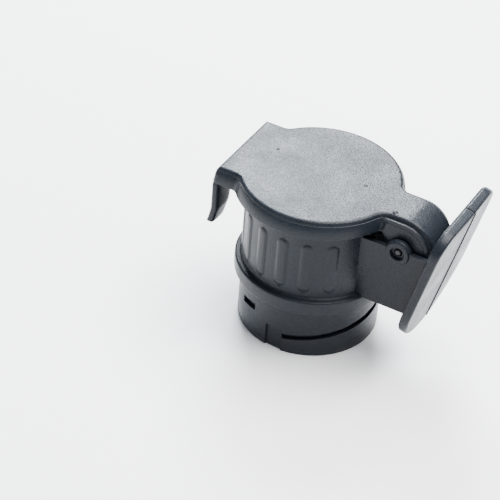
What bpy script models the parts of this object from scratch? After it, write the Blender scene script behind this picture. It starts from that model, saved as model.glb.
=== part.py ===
"""Trailer wiring adapter with a 13-pin bayonet plug below and a 7-pin socket with a sprung lid above.

Run it with blender --background --python part.py, or from Blender's text editor. Lengths are in metres,
+Z points from the plug to the socket. The heights below are measured from the sleeve's rim, and every piece is
then placed so that the origin is the middle of the plug insert's face. The lid hinges at +X, and its latch
points to -X."""

from math import asin, atan2, cos, pi, radians, sin, sqrt, tan

import bmesh
import bpy
from mathutils import Matrix, Vector

MM = 0.001
GAP = 0.3 * MM  # left between two pieces that touch
RUN_OUT = 1.0 * MM  # how far a cutter runs past the face that it opens

# Housing: plug sleeve, ledge and barrel in one moulding, turned about Z
BARREL_RADIUS = 21.1 * MM
SOCKET_WALL = 2.2 * MM
SOCKET_BORE_RADIUS = BARREL_RADIUS - SOCKET_WALL
SLEEVE_RADIUS = BARREL_RADIUS + 0.1 * MM
SLEEVE_WALL = 2.6 * MM
PLUG_BORE_RADIUS = SLEEVE_RADIUS - SLEEVE_WALL
LEDGE_WIDTH = 2.2 * MM
LEDGE_RADIUS = BARREL_RADIUS + LEDGE_WIDTH
LEDGE_BOTTOM = 17.2 * MM
LEDGE_TOP = 21.8 * MM
LEDGE_FILLET_HEIGHT = 1.6 * MM
LEDGE_FILLET_STEP = 0.5 * MM  # where the fillet's two chamfers meet
BARREL_TOP = 45.7 * MM
CHAMBER_RADIUS = 14.4 * MM
LOWER_SHOULDER = 18.3 * MM
UPPER_SHOULDER = 27.2 * MM
RIM_CHAMFER = 0.5 * MM
ROOT = 1.0 * MM  # how far a rib, key or lug starts inside the wall that it stands on
ROUND_STEPS = 60  # sides of the housing
INSERT_STEPS = 44  # sides of the inserts and the seal
SMALL_STEPS = 14  # sides of pins, contacts, screws and their holes

# Grip ribs on the barrel
RIB_PITCH = 20.0  # degrees
RIB_WIDTH = 3.7 * MM
RIB_HEIGHT = 0.6 * MM
RIB_BOTTOM = 24.2 * MM
RIB_TOP = BARREL_TOP - 4.5 * MM
RIB_FIRST = 50.0  # degrees from +X, so that the hinge bracket stays clear
RIB_END_STEPS = 4

# Bayonet tracks in the sleeve's outer face, climbing anticlockwise from shallow entries open to the rim. The
# first is a whole slot that widens at two steps; the others are only open near their upper ends
TRACK_COUNT = 3
TRACK_START = -84.0  # degrees
TRACK_SWEEP = 92.0  # degrees
TRACK_SECTIONS = 14
TRACK_LOW = 4.9 * MM
TRACK_RISE = 5.1 * MM
TRACK_WIDTH = 1.8 * MM
TRACK_DEPTH = 1.3 * MM
TRACK_STEPS_AT = (57.0, 75.0)  # degrees from the track's start
TRACK_STEP = 0.25 * MM  # how much wider the slot gets at each
TRACK_STEP_SWEEP = 0.8  # degrees
WINDOW_START = 75.0  # degrees, where the slots of the other tracks begin
ENTRY_SWEEP = 14.5  # degrees
ENTRY_TOP = 8.0 * MM
ENTRY_DEPTH = 0.6 * MM
ENTRY_OVERLAP = 0.8  # degrees that an entry runs into the start of its slot

# Key that lines up the 7-pin plug, inside the socket bore
KEY_WIDTH = 3.4 * MM
KEY_HEIGHT = 1.4 * MM
KEY_TOP = BARREL_TOP - 2.2 * MM
KEY_ABOVE_FLANGE = 1.0 * MM  # from the socket insert's flange up to the key

# Hinge bracket: two cheeks, their bosses and the plate behind them
PIN_FROM_BARREL = 9.3 * MM
PIN_X = BARREL_RADIUS + PIN_FROM_BARREL
PIN_BELOW_BARREL_TOP = 3.8 * MM
PIN_Z = BARREL_TOP - PIN_BELOW_BARREL_TOP
PIN_RADIUS = 1.0 * MM
PIN_CHAMFER = 0.25 * MM
PIN_CLEARANCE = 0.3 * MM
CHEEK_OUTSIDE = 9.6 * MM
PIN_HALF_LENGTH = CHEEK_OUTSIDE - 0.2 * MM
CHEEK_THICKNESS = 1.7 * MM
CHEEK_BOTTOM = 21.5 * MM
CHEEK_TOP = PIN_Z + 0.8 * MM
BOSS_RADIUS = 3.6 * MM
BOSS_PROUD = 0.5 * MM
COUNTERBORE_RADIUS = 2.1 * MM
COUNTERBORE_DEPTH = 1.1 * MM
PLATE_TILT = 13.4  # degrees outward from upright
PLATE_THICKNESS = 2.9 * MM
PLATE_HALF_WIDTH = 18.25 * MM
PLATE_LOW = 9.7 * MM  # below the cheeks' middle reference line, along the plate
PLATE_HIGH = 34.4 * MM
PLATE_LOW_CORNER = 16.0 * MM
PLATE_HIGH_CORNER = 7.0 * MM
PLATE_REFERENCE_Z = 24.0 * MM
HOOD_TO_PLATE = 0.4 * MM

# Lid: a disc with a latch tab at -X and a hinge hood at +X
LID_OVERHANG = 3.9 * MM
LID_RADIUS = BARREL_RADIUS + LID_OVERHANG
LID_GAP = 0.5 * MM  # between the barrel's rim and the lid's
LID_BOTTOM = BARREL_TOP + LID_GAP
LID_HEIGHT = 5.3 * MM
LID_TOP = LID_BOTTOM + LID_HEIGHT
LID_ROUNDING = 2.2 * MM
LID_RIM_WIDTH = 2.5 * MM
LID_CAVITY_RADIUS = LID_RADIUS - LID_RIM_WIDTH
LID_SKIN = 2.5 * MM
LID_WALL = 1.5 * MM  # left between the lid's cavity and the space under the hood
TAB_BEYOND_LID = 2.5 * MM
TAB_REACH = LID_RADIUS + TAB_BEYOND_LID
TAB_HALF_WIDTH = 15.6 * MM
TAB_CORNER = 1.6 * MM
TAB_FILLET = 2.4 * MM
HOOD_SIDE_PLAY = 0.4 * MM  # between the hood and each cheek
HOOD_HALF_WIDTH = CHEEK_OUTSIDE - CHEEK_THICKNESS - HOOD_SIDE_PLAY
HOOD_FILLET = 3.0 * MM
HOOD_SKIN = 2.3 * MM
HOOD_ROUNDING = 2.1 * MM
HOOD_LEAD = 8.0 * MM  # how far the hood runs into the lid, before the pin
HOOD_END = -27.0  # degrees below the pin's level, on the side of the plate
HOOD_WALL = 2.3 * MM
LUG_RADIUS = 3.5 * MM

# Latch fingers under the tab's two corners
FINGER_OUTSIDE = TAB_HALF_WIDTH
FINGER_TOP_WIDTH = 7.8 * MM
FINGER_TIP_WIDTH = 4.8 * MM
FINGER_THICKNESS = 2.4 * MM
FINGER_BOTTOM = LID_BOTTOM - 14.7 * MM
FINGER_KINK = LID_BOTTOM - 9.4 * MM
FINGER_FLARE = 1.1 * MM
FINGER_INSET = 0.6 * MM  # where the finger's root sits inside the tab's edges

# Seal in the lid
SEAL_PLAY = 0.4 * MM  # round the seal, inside the lid
SEAL_OUTSIDE = LID_CAVITY_RADIUS - SEAL_PLAY
SEAL_OVERLAP = 1.3 * MM  # how far the seal reaches in over the socket's bore
SEAL_INSIDE = SOCKET_BORE_RADIUS - SEAL_OVERLAP
SEAL_LIP = 0.6 * MM

# Torsion spring on the hinge pin
SPRING_WIRE = 0.9 * MM
SPRING_PLAY = 0.85 * MM  # between the pin and the coil
SPRING_RADIUS = PIN_RADIUS + SPRING_PLAY + SPRING_WIRE / 2
SPRING_TURNS = 6
SPRING_HALF_LENGTH = HOOD_HALF_WIDTH - HOOD_WALL - 1.6 * MM
SPRING_STEPS = 10  # points in a turn
HOUSING_LEG_ANGLE = -160.0  # degrees, with 0 along +X and 90 up
LID_LEG_ANGLE = -14.0
LID_LEG_LENGTH = 6.2 * MM
WEB_THICKNESS = 1.2 * MM
WEB_REACH = 4.6 * MM  # along the lid's leg, from the pin's axis to the web's inner edge
REST_THICKNESS = 1.8 * MM
REST_WIDTH = 2.4 * MM
REST_REACH = 2.4 * MM  # how far the spring's rest stands out from the barrel

# 7-pin socket insert and its contacts
FLANGE_PLAY = 0.4 * MM
INSERT_FLANGE_RADIUS = SOCKET_BORE_RADIUS - FLANGE_PLAY
INSERT_FLANGE_TOP = 30.5 * MM
BLOCK_RADIUS = 13.0 * MM
BLOCK_TOP = 40.5 * MM
BLOCK_CHAMFER = 0.6 * MM
BLOCK_KEYWAY_WIDTH = 3.0 * MM
BLOCK_KEYWAY_DEPTH = 1.2 * MM
CONTACT_COUNT = 7
CONTACT_CIRCLE = 8.5 * MM
CONTACT_RADIUS = 2.5 * MM
CONTACT_BORE = 1.85 * MM
CONTACT_SEAT = 29.0 * MM
CONTACT_TAIL_RADIUS = 1.2 * MM
CONTACT_TAIL_END = 25.6 * MM
CONTACT_BELOW_BLOCK = 0.5 * MM
SLEEVE_FLOOR = 1.5 * MM  # solid brass at the foot of a contact's bore
CENTRE_PIN_RADIUS = 1.85 * MM
CENTRE_PIN_ROUNDING = 0.8 * MM
CENTRE_PIN_TOP = 39.4 * MM
CENTRE_WELL_RADIUS = 4.4 * MM
CENTRE_WELL_FLOOR = 31.4 * MM

# Two screws that hold the socket insert down
SCREW_CIRCLE = 16.6 * MM
SCREW_SHANK = 0.9 * MM
SCREW_HEAD = 1.8 * MM
SCREW_HEAD_HEIGHT = 1.2 * MM
SCREW_LENGTH = 8.0 * MM
SCREW_POINT = 1.0 * MM
SCREW_ANGLES = (90.0, 270.0)

# 13-pin insert, which stays still in the towing socket while the housing is twisted round it
PLUG_SEAT = 13.0 * MM  # underside of the insert's flange
PLUG_NOSE = 10.8 * MM  # face that the pins stand out of
PLUG_NOSE_RADIUS = PLUG_BORE_RADIUS - 3.2 * MM
PLUG_INSERT_PLAY = 0.4 * MM  # round the insert's flange, so that it turns freely
PLUG_PIN_CIRCLE = 12.2 * MM
PLUG_INNER_CIRCLE = 5.0 * MM
PLUG_PIN_RADIUS = 1.25 * MM
PLUG_PIN_ROUNDING = 1.1 * MM
PLUG_PIN_TIP = 1.6 * MM
PLUG_PIN_TAIL = 19.8 * MM
PLUG_OUTER_PITCH = 36.0  # degrees, ten steps of which nine are used
PLUG_FITTED_STEPS = (0, 2, 3, 4, 5, 7, 8)
PLUG_EMPTY_STEPS = (1, 6)
PLUG_INNER_COUNT = 4
PLUG_TURN = 75.0  # degrees that the housing turns round the insert
EMPTY_HOLE_RADIUS = 1.4 * MM
EMPTY_HOLE_DEPTH = 2.5 * MM
RING_WIDTH = 3.2 * MM
RING_THICKNESS = 1.0 * MM
RING_GROOVE_DEPTH = 0.7 * MM
RING_PLAY = 0.2 * MM  # between the ring and the bottom of its groove
RING_MOUTH = 34.0  # degrees left open so that the ring can be squeezed

# Jumper wires between the two inserts
WIRE_RADIUS = 0.8 * MM
WIRE_POINTS = 9
CENTRE_WIRE_PIN = 3  # index in PLUG_FITTED_STEPS of the pin that feeds the centre contact

# Values that follow
PLUG_INSERT_RADIUS = PLUG_BORE_RADIUS - PLUG_INSERT_PLAY
PLUG_INSERT_TOP = LOWER_SHOULDER - GAP
HINGE = Vector((PIN_X, 0.0, PIN_Z))
FROM_RIM = Vector((0.0, 0.0, -PLUG_NOSE))  # moves heights from the rim to the plug insert's face
CHEEK_INSIDE = CHEEK_OUTSIDE - CHEEK_THICKNESS
HOOD_RADIUS = LID_TOP - PIN_Z
PLATE_OUT = Vector((cos(radians(PLATE_TILT)), 0.0, -sin(radians(PLATE_TILT))))
PLATE_UP = Vector((sin(radians(PLATE_TILT)), 0.0, cos(radians(PLATE_TILT))))
PLATE_INNER_DISTANCE = HOOD_RADIUS + HOOD_TO_PLATE
INSERT_FLANGE_BOTTOM = UPPER_SHOULDER + GAP
PIN_HOLE_RADIUS = PIN_RADIUS + PIN_CLEARANCE
SCREW_HOLE_RADIUS = SCREW_SHANK + GAP
CONTACT_HOLE_RADIUS = CONTACT_RADIUS + GAP
TAIL_HOLE_RADIUS = CONTACT_TAIL_RADIUS + GAP


def clear_scene():
    for obj in list(bpy.data.objects):
        bpy.data.objects.remove(obj, do_unlink=True)


def material(name, colour, roughness, metallic=0.0):
    """A Principled material, shared by the pieces that are made of it."""
    made = bpy.data.materials.get(name) or bpy.data.materials.new(name)
    made.use_nodes = True
    made.diffuse_color = (*colour, 1.0)
    shader = made.node_tree.nodes["Principled BSDF"]
    shader.inputs["Base Color"].default_value = (*colour, 1.0)
    shader.inputs["Roughness"].default_value = roughness
    shader.inputs["Metallic"].default_value = metallic
    return made


def black_plastic():
    return material("moulded_plastic", (0.030, 0.036, 0.045), 0.50)


def insert_plastic():
    return material("insert_plastic", (0.045, 0.048, 0.055), 0.42)


def rubber():
    return material("seal_rubber", (0.020, 0.020, 0.021), 0.75)


def brass():
    return material("contact_brass", (0.62, 0.46, 0.20), 0.30, 1.0)


def steel():
    return material("plated_steel", (0.56, 0.56, 0.57), 0.32, 1.0)


def wire_sheath():
    return material("wire_sheath", (0.10, 0.10, 0.11), 0.45)


def add_object(name, bm, made_of=None):
    """Turns a bmesh into an object with smooth round faces."""
    bmesh.ops.recalc_face_normals(bm, faces=bm.faces)
    mesh = bpy.data.meshes.new(name)
    bm.to_mesh(mesh)
    bm.free()
    mesh.shade_smooth()
    mesh.set_sharp_from_angle(angle=radians(30.0))
    obj = bpy.data.objects.new(name, mesh)
    obj.location = FROM_RIM
    bpy.context.scene.collection.objects.link(obj)
    if made_of:
        mesh.materials.append(made_of)
    return obj


def combine(obj, other, operation):
    """Adds a Boolean with a helper object, which is kept out of renders."""
    other.hide_render = True
    other.display_type = "WIRE"
    modifier = obj.modifiers.new(f"{operation.lower()} {other.name}", "BOOLEAN")
    modifier.operation = operation
    modifier.solver = "EXACT"
    modifier.object = other


def turned(profile, steps=ROUND_STEPS, bm=None, place=Matrix.Identity(4)):
    """A solid of revolution about Z from (radius, height) points. An outline that starts and ends on the
    axis is left open there, and any other one is closed."""
    bm = bm or bmesh.new()
    points = [bm.verts.new((radius, 0.0, height)) for radius, height in profile]
    edges = [bm.edges.new(pair) for pair in zip(points, points[1:])]
    if profile[0][0] > 0.0:
        edges.append(bm.edges.new((points[-1], points[0])))
    before = set(bm.verts) - set(points)
    bmesh.ops.spin(
        bm, geom=points + edges, cent=(0, 0, 0), axis=(0, 0, 1), angle=2 * pi, steps=steps, use_merge=True
    )
    spun = [vert for vert in bm.verts if vert not in before]
    bmesh.ops.remove_doubles(bm, verts=spun, dist=1e-7)
    spun = [vert for vert in bm.verts if vert not in before]
    bmesh.ops.transform(bm, matrix=place, verts=spun)
    return bm


def cylinder(radius, low, high, steps=ROUND_STEPS, bm=None, place=Matrix.Identity(4)):
    return turned([(0.0, low), (radius, low), (radius, high), (0.0, high)], steps, bm, place)


def layered(layers, bm=None, place=Matrix.Identity(4)):
    """A solid through closed loops of points that all have the same number of points."""
    bm = bm or bmesh.new()
    loops = [[bm.verts.new(place @ Vector(point)) for point in layer] for layer in layers]
    for low, high in zip(loops, loops[1:]):
        for i in range(len(low)):
            j = (i + 1) % len(low)
            bm.faces.new((low[i], low[j], high[j], high[i]))
    bm.faces.new(list(reversed(loops[0])))
    bm.faces.new(loops[-1])
    return bm


def prism(outline, low, high, place=Matrix.Identity(4), bm=None):
    """A flat outline of (x, y) points, extruded along Z from low to high."""
    return layered([[(x, y, z) for x, y in outline] for z in (low, high)], bm, place)


def box(low, high, place=Matrix.Identity(4), bm=None):
    outline = [(low[0], low[1]), (high[0], low[1]), (high[0], high[1]), (low[0], high[1])]
    return prism(outline, low[2], high[2], place, bm)


def arc(centre, radius, start, end, steps):
    """Points along an arc from angle start to angle end, in degrees."""
    angles = [radians(start + (end - start) * i / steps) for i in range(steps + 1)]
    return [(centre[0] + radius * cos(a), centre[1] + radius * sin(a)) for a in angles]


def about_z(degrees):
    return Matrix.Rotation(radians(degrees), 4, "Z")


def pin_frame(y=0.0):
    """Places a solid turned about Z on the hinge pin's axis, with its base at y."""
    return Matrix.Translation(HINGE + Vector((0.0, y, 0.0))) @ Matrix.Rotation(-pi / 2, 4, "X")


def housing_profile():
    barrel_foot = LEDGE_TOP + LEDGE_FILLET_HEIGHT
    outside = [
        (SLEEVE_RADIUS - RIM_CHAMFER, 0.0),
        (SLEEVE_RADIUS, RIM_CHAMFER),
        (SLEEVE_RADIUS, LEDGE_BOTTOM),
        (LEDGE_RADIUS - RIM_CHAMFER, LEDGE_BOTTOM),
        (LEDGE_RADIUS, LEDGE_BOTTOM + RIM_CHAMFER),
        (LEDGE_RADIUS, LEDGE_TOP - RIM_CHAMFER),
        (LEDGE_RADIUS - RIM_CHAMFER, LEDGE_TOP),
        (BARREL_RADIUS + LEDGE_FILLET_STEP, LEDGE_TOP + LEDGE_FILLET_STEP),
        (BARREL_RADIUS, barrel_foot),
        (BARREL_RADIUS, BARREL_TOP - RIM_CHAMFER),
        (BARREL_RADIUS - RIM_CHAMFER, BARREL_TOP),
    ]
    groove_low = PLUG_SEAT - GAP - RING_THICKNESS - GAP
    groove_radius = PLUG_BORE_RADIUS + RING_GROOVE_DEPTH
    inside = [
        (SOCKET_BORE_RADIUS, BARREL_TOP),
        (SOCKET_BORE_RADIUS, UPPER_SHOULDER),
        (CHAMBER_RADIUS, UPPER_SHOULDER),
        (CHAMBER_RADIUS, LOWER_SHOULDER),
        (PLUG_BORE_RADIUS, LOWER_SHOULDER),
        (PLUG_BORE_RADIUS, PLUG_SEAT),
        (groove_radius, PLUG_SEAT),
        (groove_radius, groove_low),
        (PLUG_BORE_RADIUS, groove_low),
        (PLUG_BORE_RADIUS, 0.0),
    ]
    return outside + inside


def rib_angles():
    count = int((180.0 - RIB_FIRST) // RIB_PITCH) + 1
    one_side = [RIB_FIRST + RIB_PITCH * i for i in range(count)]
    return one_side + [-angle for angle in one_side]


def grip_ribs():
    """Upright pads with round ends, which start inside the barrel's wall."""
    bm = bmesh.new()
    half = RIB_WIDTH / 2
    outline = arc((RIB_BOTTOM + half, 0.0), half, 90.0, 270.0, RIB_END_STEPS)
    outline += arc((RIB_TOP - half, 0.0), half, -90.0, 90.0, RIB_END_STEPS)
    root = BARREL_RADIUS - ROOT
    top = BARREL_RADIUS + RIB_HEIGHT
    for angle in rib_angles():
        shape = [[(radius, y, z) for z, y in outline] for radius in (root, top)]
        layered(shape, bm, about_z(angle))
    return add_object("guide_grip_ribs", bm)


def track_width(angle):
    """Slot width this far from its start, in degrees; it gains TRACK_STEP over each step's short sweep."""
    shares = [(angle - step) / TRACK_STEP_SWEEP + 0.5 for step in TRACK_STEPS_AT]
    return TRACK_WIDTH + TRACK_STEP * sum(min(max(share, 0.0), 1.0) for share in shares)


def bayonet_tracks():
    """Cutters for the climbing slots and their entries from the rim."""
    bm = bmesh.new()
    inner = SLEEVE_RADIUS - TRACK_DEPTH
    outer = SLEEVE_RADIUS + RUN_OUT
    for track in range(TRACK_COUNT):
        start = WINDOW_START + TRACK_STEP_SWEEP if track else 0.0
        angles = [start + (TRACK_SWEEP - start) * i / TRACK_SECTIONS for i in range(TRACK_SECTIONS + 1)]
        half = TRACK_STEP_SWEEP / 2
        angles += [step + side for step in TRACK_STEPS_AT for side in (-half, half) if step > start]
        sections = []
        for angle in sorted(angles):
            low = TRACK_LOW + TRACK_RISE * angle / TRACK_SWEEP
            high = low + track_width(angle)
            x, y = cos(radians(angle)), sin(radians(angle))
            corners = ((inner, low), (outer, low), (outer, high), (inner, high))
            sections.append([(r * x, r * y, z) for r, z in corners])
        layered(sections, bm, about_z(TRACK_START + 360.0 * track / TRACK_COUNT))
    tracks = add_object("guide_bayonet_slots", bm)
    bm = bmesh.new()
    for track in range(TRACK_COUNT):
        place = about_z(TRACK_START + 360.0 * track / TRACK_COUNT)
        outline = arc((0.0, 0.0), outer, -ENTRY_SWEEP, ENTRY_OVERLAP, 4)
        outline += arc((0.0, 0.0), SLEEVE_RADIUS - ENTRY_DEPTH, ENTRY_OVERLAP, -ENTRY_SWEEP, 4)
        prism(outline, -RUN_OUT, ENTRY_TOP, place, bm)
    return tracks, add_object("guide_bayonet_entries", bm)


def plate_point(y, height, depth):
    """A point on the plate: height runs up it from the reference line, and depth outward from its inner face."""
    foot = HINGE + PLATE_OUT * PLATE_INNER_DISTANCE
    foot = foot + PLATE_UP * ((PLATE_REFERENCE_Z - foot.z) / PLATE_UP.z)
    return foot + PLATE_UP * height + PLATE_OUT * depth + Vector((0.0, y, 0.0))


def lid_rest_plate():
    """The tilted plate behind the hinge: nearly round below, and with small corners above."""
    wide = PLATE_HALF_WIDTH
    low_corner = PLATE_LOW_CORNER
    high_corner = PLATE_HIGH_CORNER
    outline = arc((wide - low_corner, low_corner - PLATE_LOW), low_corner, -90.0, 0.0, 8)
    outline += arc((wide - high_corner, PLATE_HIGH - high_corner), high_corner, 0.0, 90.0, 5)
    outline += arc((high_corner - wide, PLATE_HIGH - high_corner), high_corner, 90.0, 180.0, 5)
    outline += arc((low_corner - wide, low_corner - PLATE_LOW), low_corner, 180.0, 270.0, 8)
    layers = [[plate_point(y, s, depth) for y, s in outline] for depth in (0.0, PLATE_THICKNESS)]
    return add_object("guide_plate", layered(layers))


def bracket_cheek(side):
    """One cheek, from inside the barrel's wall to inside the plate."""
    root = sqrt(((SOCKET_BORE_RADIUS + BARREL_RADIUS) / 2) ** 2 - (CHEEK_OUTSIDE - CHEEK_THICKNESS / 2) ** 2)
    ends = []
    for z in (CHEEK_BOTTOM, CHEEK_TOP):
        middle = plate_point(0.0, 0.0, PLATE_THICKNESS / 2)
        ends.append((middle.x + (z - middle.z) * tan(radians(PLATE_TILT)), z))
    outline = [(root, CHEEK_BOTTOM), ends[0], ends[1], (root, CHEEK_TOP)]
    inner, outer = sorted((side * CHEEK_INSIDE, side * CHEEK_OUTSIDE))
    layers = [[(x, y, z) for x, z in outline] for y in (inner, outer)]
    return add_object(f"guide_cheek_{'near' if side < 0 else 'far'}", layered(layers))


def hinge_bosses():
    bm = bmesh.new()
    length = CHEEK_THICKNESS + BOSS_PROUD
    for start in (CHEEK_INSIDE, -CHEEK_INSIDE - length):
        cylinder(BOSS_RADIUS, 0.0, length, 24, bm, pin_frame(start))
    return add_object("guide_bosses", bm)


def hinge_pin_hole():
    """The pin's hole through both cheeks, with a counterbore at each end."""
    end = CHEEK_OUTSIDE + BOSS_PROUD
    floor = end - COUNTERBORE_DEPTH
    outside = end + RUN_OUT
    profile = [
        (0.0, -outside),
        (COUNTERBORE_RADIUS, -outside),
        (COUNTERBORE_RADIUS, -floor),
        (PIN_HOLE_RADIUS, -floor),
        (PIN_HOLE_RADIUS, floor),
        (COUNTERBORE_RADIUS, floor),
        (COUNTERBORE_RADIUS, outside),
        (0.0, outside),
    ]
    return add_object("guide_pin_hole", turned(profile, 20, place=pin_frame()))


def socket_key():
    low = (-SOCKET_BORE_RADIUS - ROOT, -KEY_WIDTH / 2, INSERT_FLANGE_TOP + KEY_ABOVE_FLANGE)
    high = (-SOCKET_BORE_RADIUS + KEY_HEIGHT, KEY_WIDTH / 2, KEY_TOP)
    return add_object("guide_socket_key", box(low, high))


def spring_rest():
    """A lug on the barrel, just above the spring's housing leg."""
    along, across = leg_frame(HOUSING_LEG_ANGLE)
    start = HINGE + across * SPRING_RADIUS
    face = BARREL_RADIUS + REST_REACH
    leg_z = start.z + along.z * (face - start.x) / along.x
    bottom = leg_z + SPRING_WIRE / 2 / abs(along.x) + GAP
    low = (BARREL_RADIUS - ROOT, -SPRING_HALF_LENGTH - REST_WIDTH / 2, bottom)
    high = (face, -SPRING_HALF_LENGTH + REST_WIDTH / 2, bottom + REST_THICKNESS)
    return add_object("guide_spring_rest", box(low, high))


def screw_holes():
    bm = bmesh.new()
    bottom = INSERT_FLANGE_TOP - SCREW_LENGTH - RUN_OUT
    for angle in SCREW_ANGLES:
        place = about_z(angle) @ Matrix.Translation((SCREW_CIRCLE, 0.0, 0.0))
        cylinder(SCREW_HOLE_RADIUS, bottom, INSERT_FLANGE_TOP + RUN_OUT, SMALL_STEPS, bm, place)
    return add_object("guide_screw_holes", bm)


def housing(holes):
    """Sleeve, ledge, barrel, hinge bracket and plate."""
    obj = add_object("housing", turned(housing_profile()), black_plastic())
    combine(obj, grip_ribs(), "UNION")
    combine(obj, lid_rest_plate(), "UNION")
    combine(obj, bracket_cheek(-1), "UNION")
    combine(obj, bracket_cheek(1), "UNION")
    combine(obj, hinge_bosses(), "UNION")
    combine(obj, socket_key(), "UNION")
    combine(obj, spring_rest(), "UNION")
    combine(obj, hinge_pin_hole(), "DIFFERENCE")
    for cutter in bayonet_tracks():
        combine(obj, cutter, "DIFFERENCE")
    combine(obj, holes, "DIFFERENCE")
    return obj


def mirrored(points):
    """Adds the other side of an outline that runs from +X round to -X."""
    return points + [(x, -y) for x, y in reversed(points)]


def lid_outline(inset):
    """The lid seen from above, moved inward by inset: hood root, disc and latch tab."""
    disc = LID_RADIUS - inset
    side = HOOD_HALF_WIDTH - inset
    fillet = HOOD_FILLET + inset
    centre_x = sqrt((disc + fillet) ** 2 - (side + fillet) ** 2)
    tangent = atan2(side + fillet, centre_x)
    points = [(PIN_X, side)]
    points += arc((centre_x, side + fillet), fillet, 270.0, 180.0 + tangent * 180.0 / pi, 5)
    tab_side = TAB_HALF_WIDTH - inset
    tab_fillet = TAB_FILLET + inset
    tab_centre_x = sqrt((disc + tab_fillet) ** 2 - (tab_side + tab_fillet) ** 2)
    tab_tangent = 180.0 - asin((tab_side + tab_fillet) / (disc + tab_fillet)) * 180.0 / pi
    hood_tangent = tangent * 180.0 / pi
    points += arc((0.0, 0.0), disc, hood_tangent, tab_tangent, 26)[1:]
    points += arc((-tab_centre_x, tab_side + tab_fillet), tab_fillet, tab_tangent + 180.0, 270.0, 4)[1:]
    corner = TAB_CORNER
    points += arc((corner - TAB_REACH + inset, tab_side - corner), corner, 90.0, 180.0, 4)
    return mirrored(points)


def lid_slab():
    """Layers that round the lid's upper edge over a quarter circle."""
    layers = [(0.0, LID_BOTTOM)]
    for i in range(5):
        angle = pi / 2 * i / 4
        layers.append((LID_ROUNDING * (1 - cos(angle)), LID_TOP - LID_ROUNDING * (1 - sin(angle))))
    return layered([[(x, y, z) for x, y in lid_outline(inset)] for inset, z in layers])


def hood_point(radius, degrees):
    return (PIN_X + radius * cos(radians(degrees)), PIN_Z + radius * sin(radians(degrees)))


def hood_skin():
    """The hood: the lid's top carried over the pin at one radius, with its own rounded sides."""
    steps = 14
    stations = [90.0 + (HOOD_END - 90.0) * i / steps for i in range(steps + 1)]
    rounding = HOOD_ROUNDING
    ring = [(-HOOD_HALF_WIDTH, HOOD_RADIUS - HOOD_SKIN), (HOOD_HALF_WIDTH, HOOD_RADIUS - HOOD_SKIN)]
    ring += arc((HOOD_HALF_WIDTH - rounding, HOOD_RADIUS - rounding), rounding, 0.0, 90.0, 4)
    ring += arc((rounding - HOOD_HALF_WIDTH, HOOD_RADIUS - rounding), rounding, 90.0, 180.0, 4)
    start_x = PIN_X - HOOD_LEAD
    layers = [[(start_x, y, PIN_Z + radius) for y, radius in ring]]
    for degrees in stations:
        layer = []
        for y, radius in ring:
            x, z = hood_point(radius, degrees)
            layer.append((x, y, z))
        layers.append(layer)
    return add_object("guide_hood", layered(layers))


def hood_walls():
    """Side walls under the hood, which carry the lid on the pin."""
    bm = bmesh.new()
    inside_hood = HOOD_RADIUS - HOOD_SKIN / 2
    start_x = LID_CAVITY_RADIUS + ROOT
    outline = [(start_x, LID_BOTTOM), (start_x, PIN_Z + inside_hood)]
    outline += [hood_point(inside_hood, 90.0 - 11.0 * i) for i in range(11)]
    outline += [hood_point(LUG_RADIUS, -60.0 - 15.0 * i) for i in range(6)]
    for inner in (-HOOD_HALF_WIDTH, HOOD_HALF_WIDTH - HOOD_WALL):
        layers = [[(x, y, z) for x, z in outline] for y in (inner, inner + HOOD_WALL)]
        layered(layers, bm)
    return add_object("guide_hood_walls", bm)


def leg_frame(degrees):
    """Unit vectors along a spring leg and square to it, upward."""
    angle = radians(degrees)
    return Vector((cos(angle), 0.0, sin(angle))), Vector((-sin(angle), 0.0, cos(angle)))


def spring_web():
    """The web at the hood's end that the spring's lid leg pushes up, on the far half of the hood only."""
    along, across = leg_frame(LID_LEG_ANGLE)
    underside = -(SPRING_RADIUS - SPRING_WIRE / 2 - GAP)
    outer_end = HOOD_RADIUS - HOOD_SKIN / 2
    corners = []
    for reach, rise in ((WEB_REACH, 0.0), (outer_end, 0.0), (outer_end, WEB_THICKNESS), (WEB_REACH, WEB_THICKNESS)):
        corners.append(HINGE + along * reach + across * (underside + rise))
    layers = [[(c.x, y, c.z) for c in corners] for y in (0.0, HOOD_HALF_WIDTH - HOOD_WALL / 2)]
    return add_object("guide_spring_web", layered(layers))


def latch_fingers():
    """Two tapered fingers with an outward foot, under the tab's corners."""
    bm = bmesh.new()
    heights = (LID_TOP - LID_ROUNDING, LID_BOTTOM, FINGER_KINK, FINGER_BOTTOM)
    for side in (-1, 1):
        layers = []
        for z in heights:
            drop = max(0.0, (LID_BOTTOM - z) / (LID_BOTTOM - FINGER_BOTTOM))
            width = FINGER_TOP_WIDTH + (FINGER_TIP_WIDTH - FINGER_TOP_WIDTH) * drop
            flare = FINGER_FLARE * max(0.0, (FINGER_KINK - z) / (FINGER_KINK - FINGER_BOTTOM))
            in_the_tab = z > LID_BOTTOM
            outside = TAB_HALF_WIDTH - FINGER_INSET if in_the_tab else FINGER_OUTSIDE
            left = -TAB_REACH + (FINGER_INSET if in_the_tab else 0.0) - flare
            right = -TAB_REACH + FINGER_THICKNESS - flare
            y0, y1 = outside - width, outside
            layers.append([(left, side * y0, z), (right, side * y0, z), (right, side * y1, z), (left, side * y1, z)])
        layered(layers, bm)
    return add_object("guide_fingers", bm)


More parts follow.
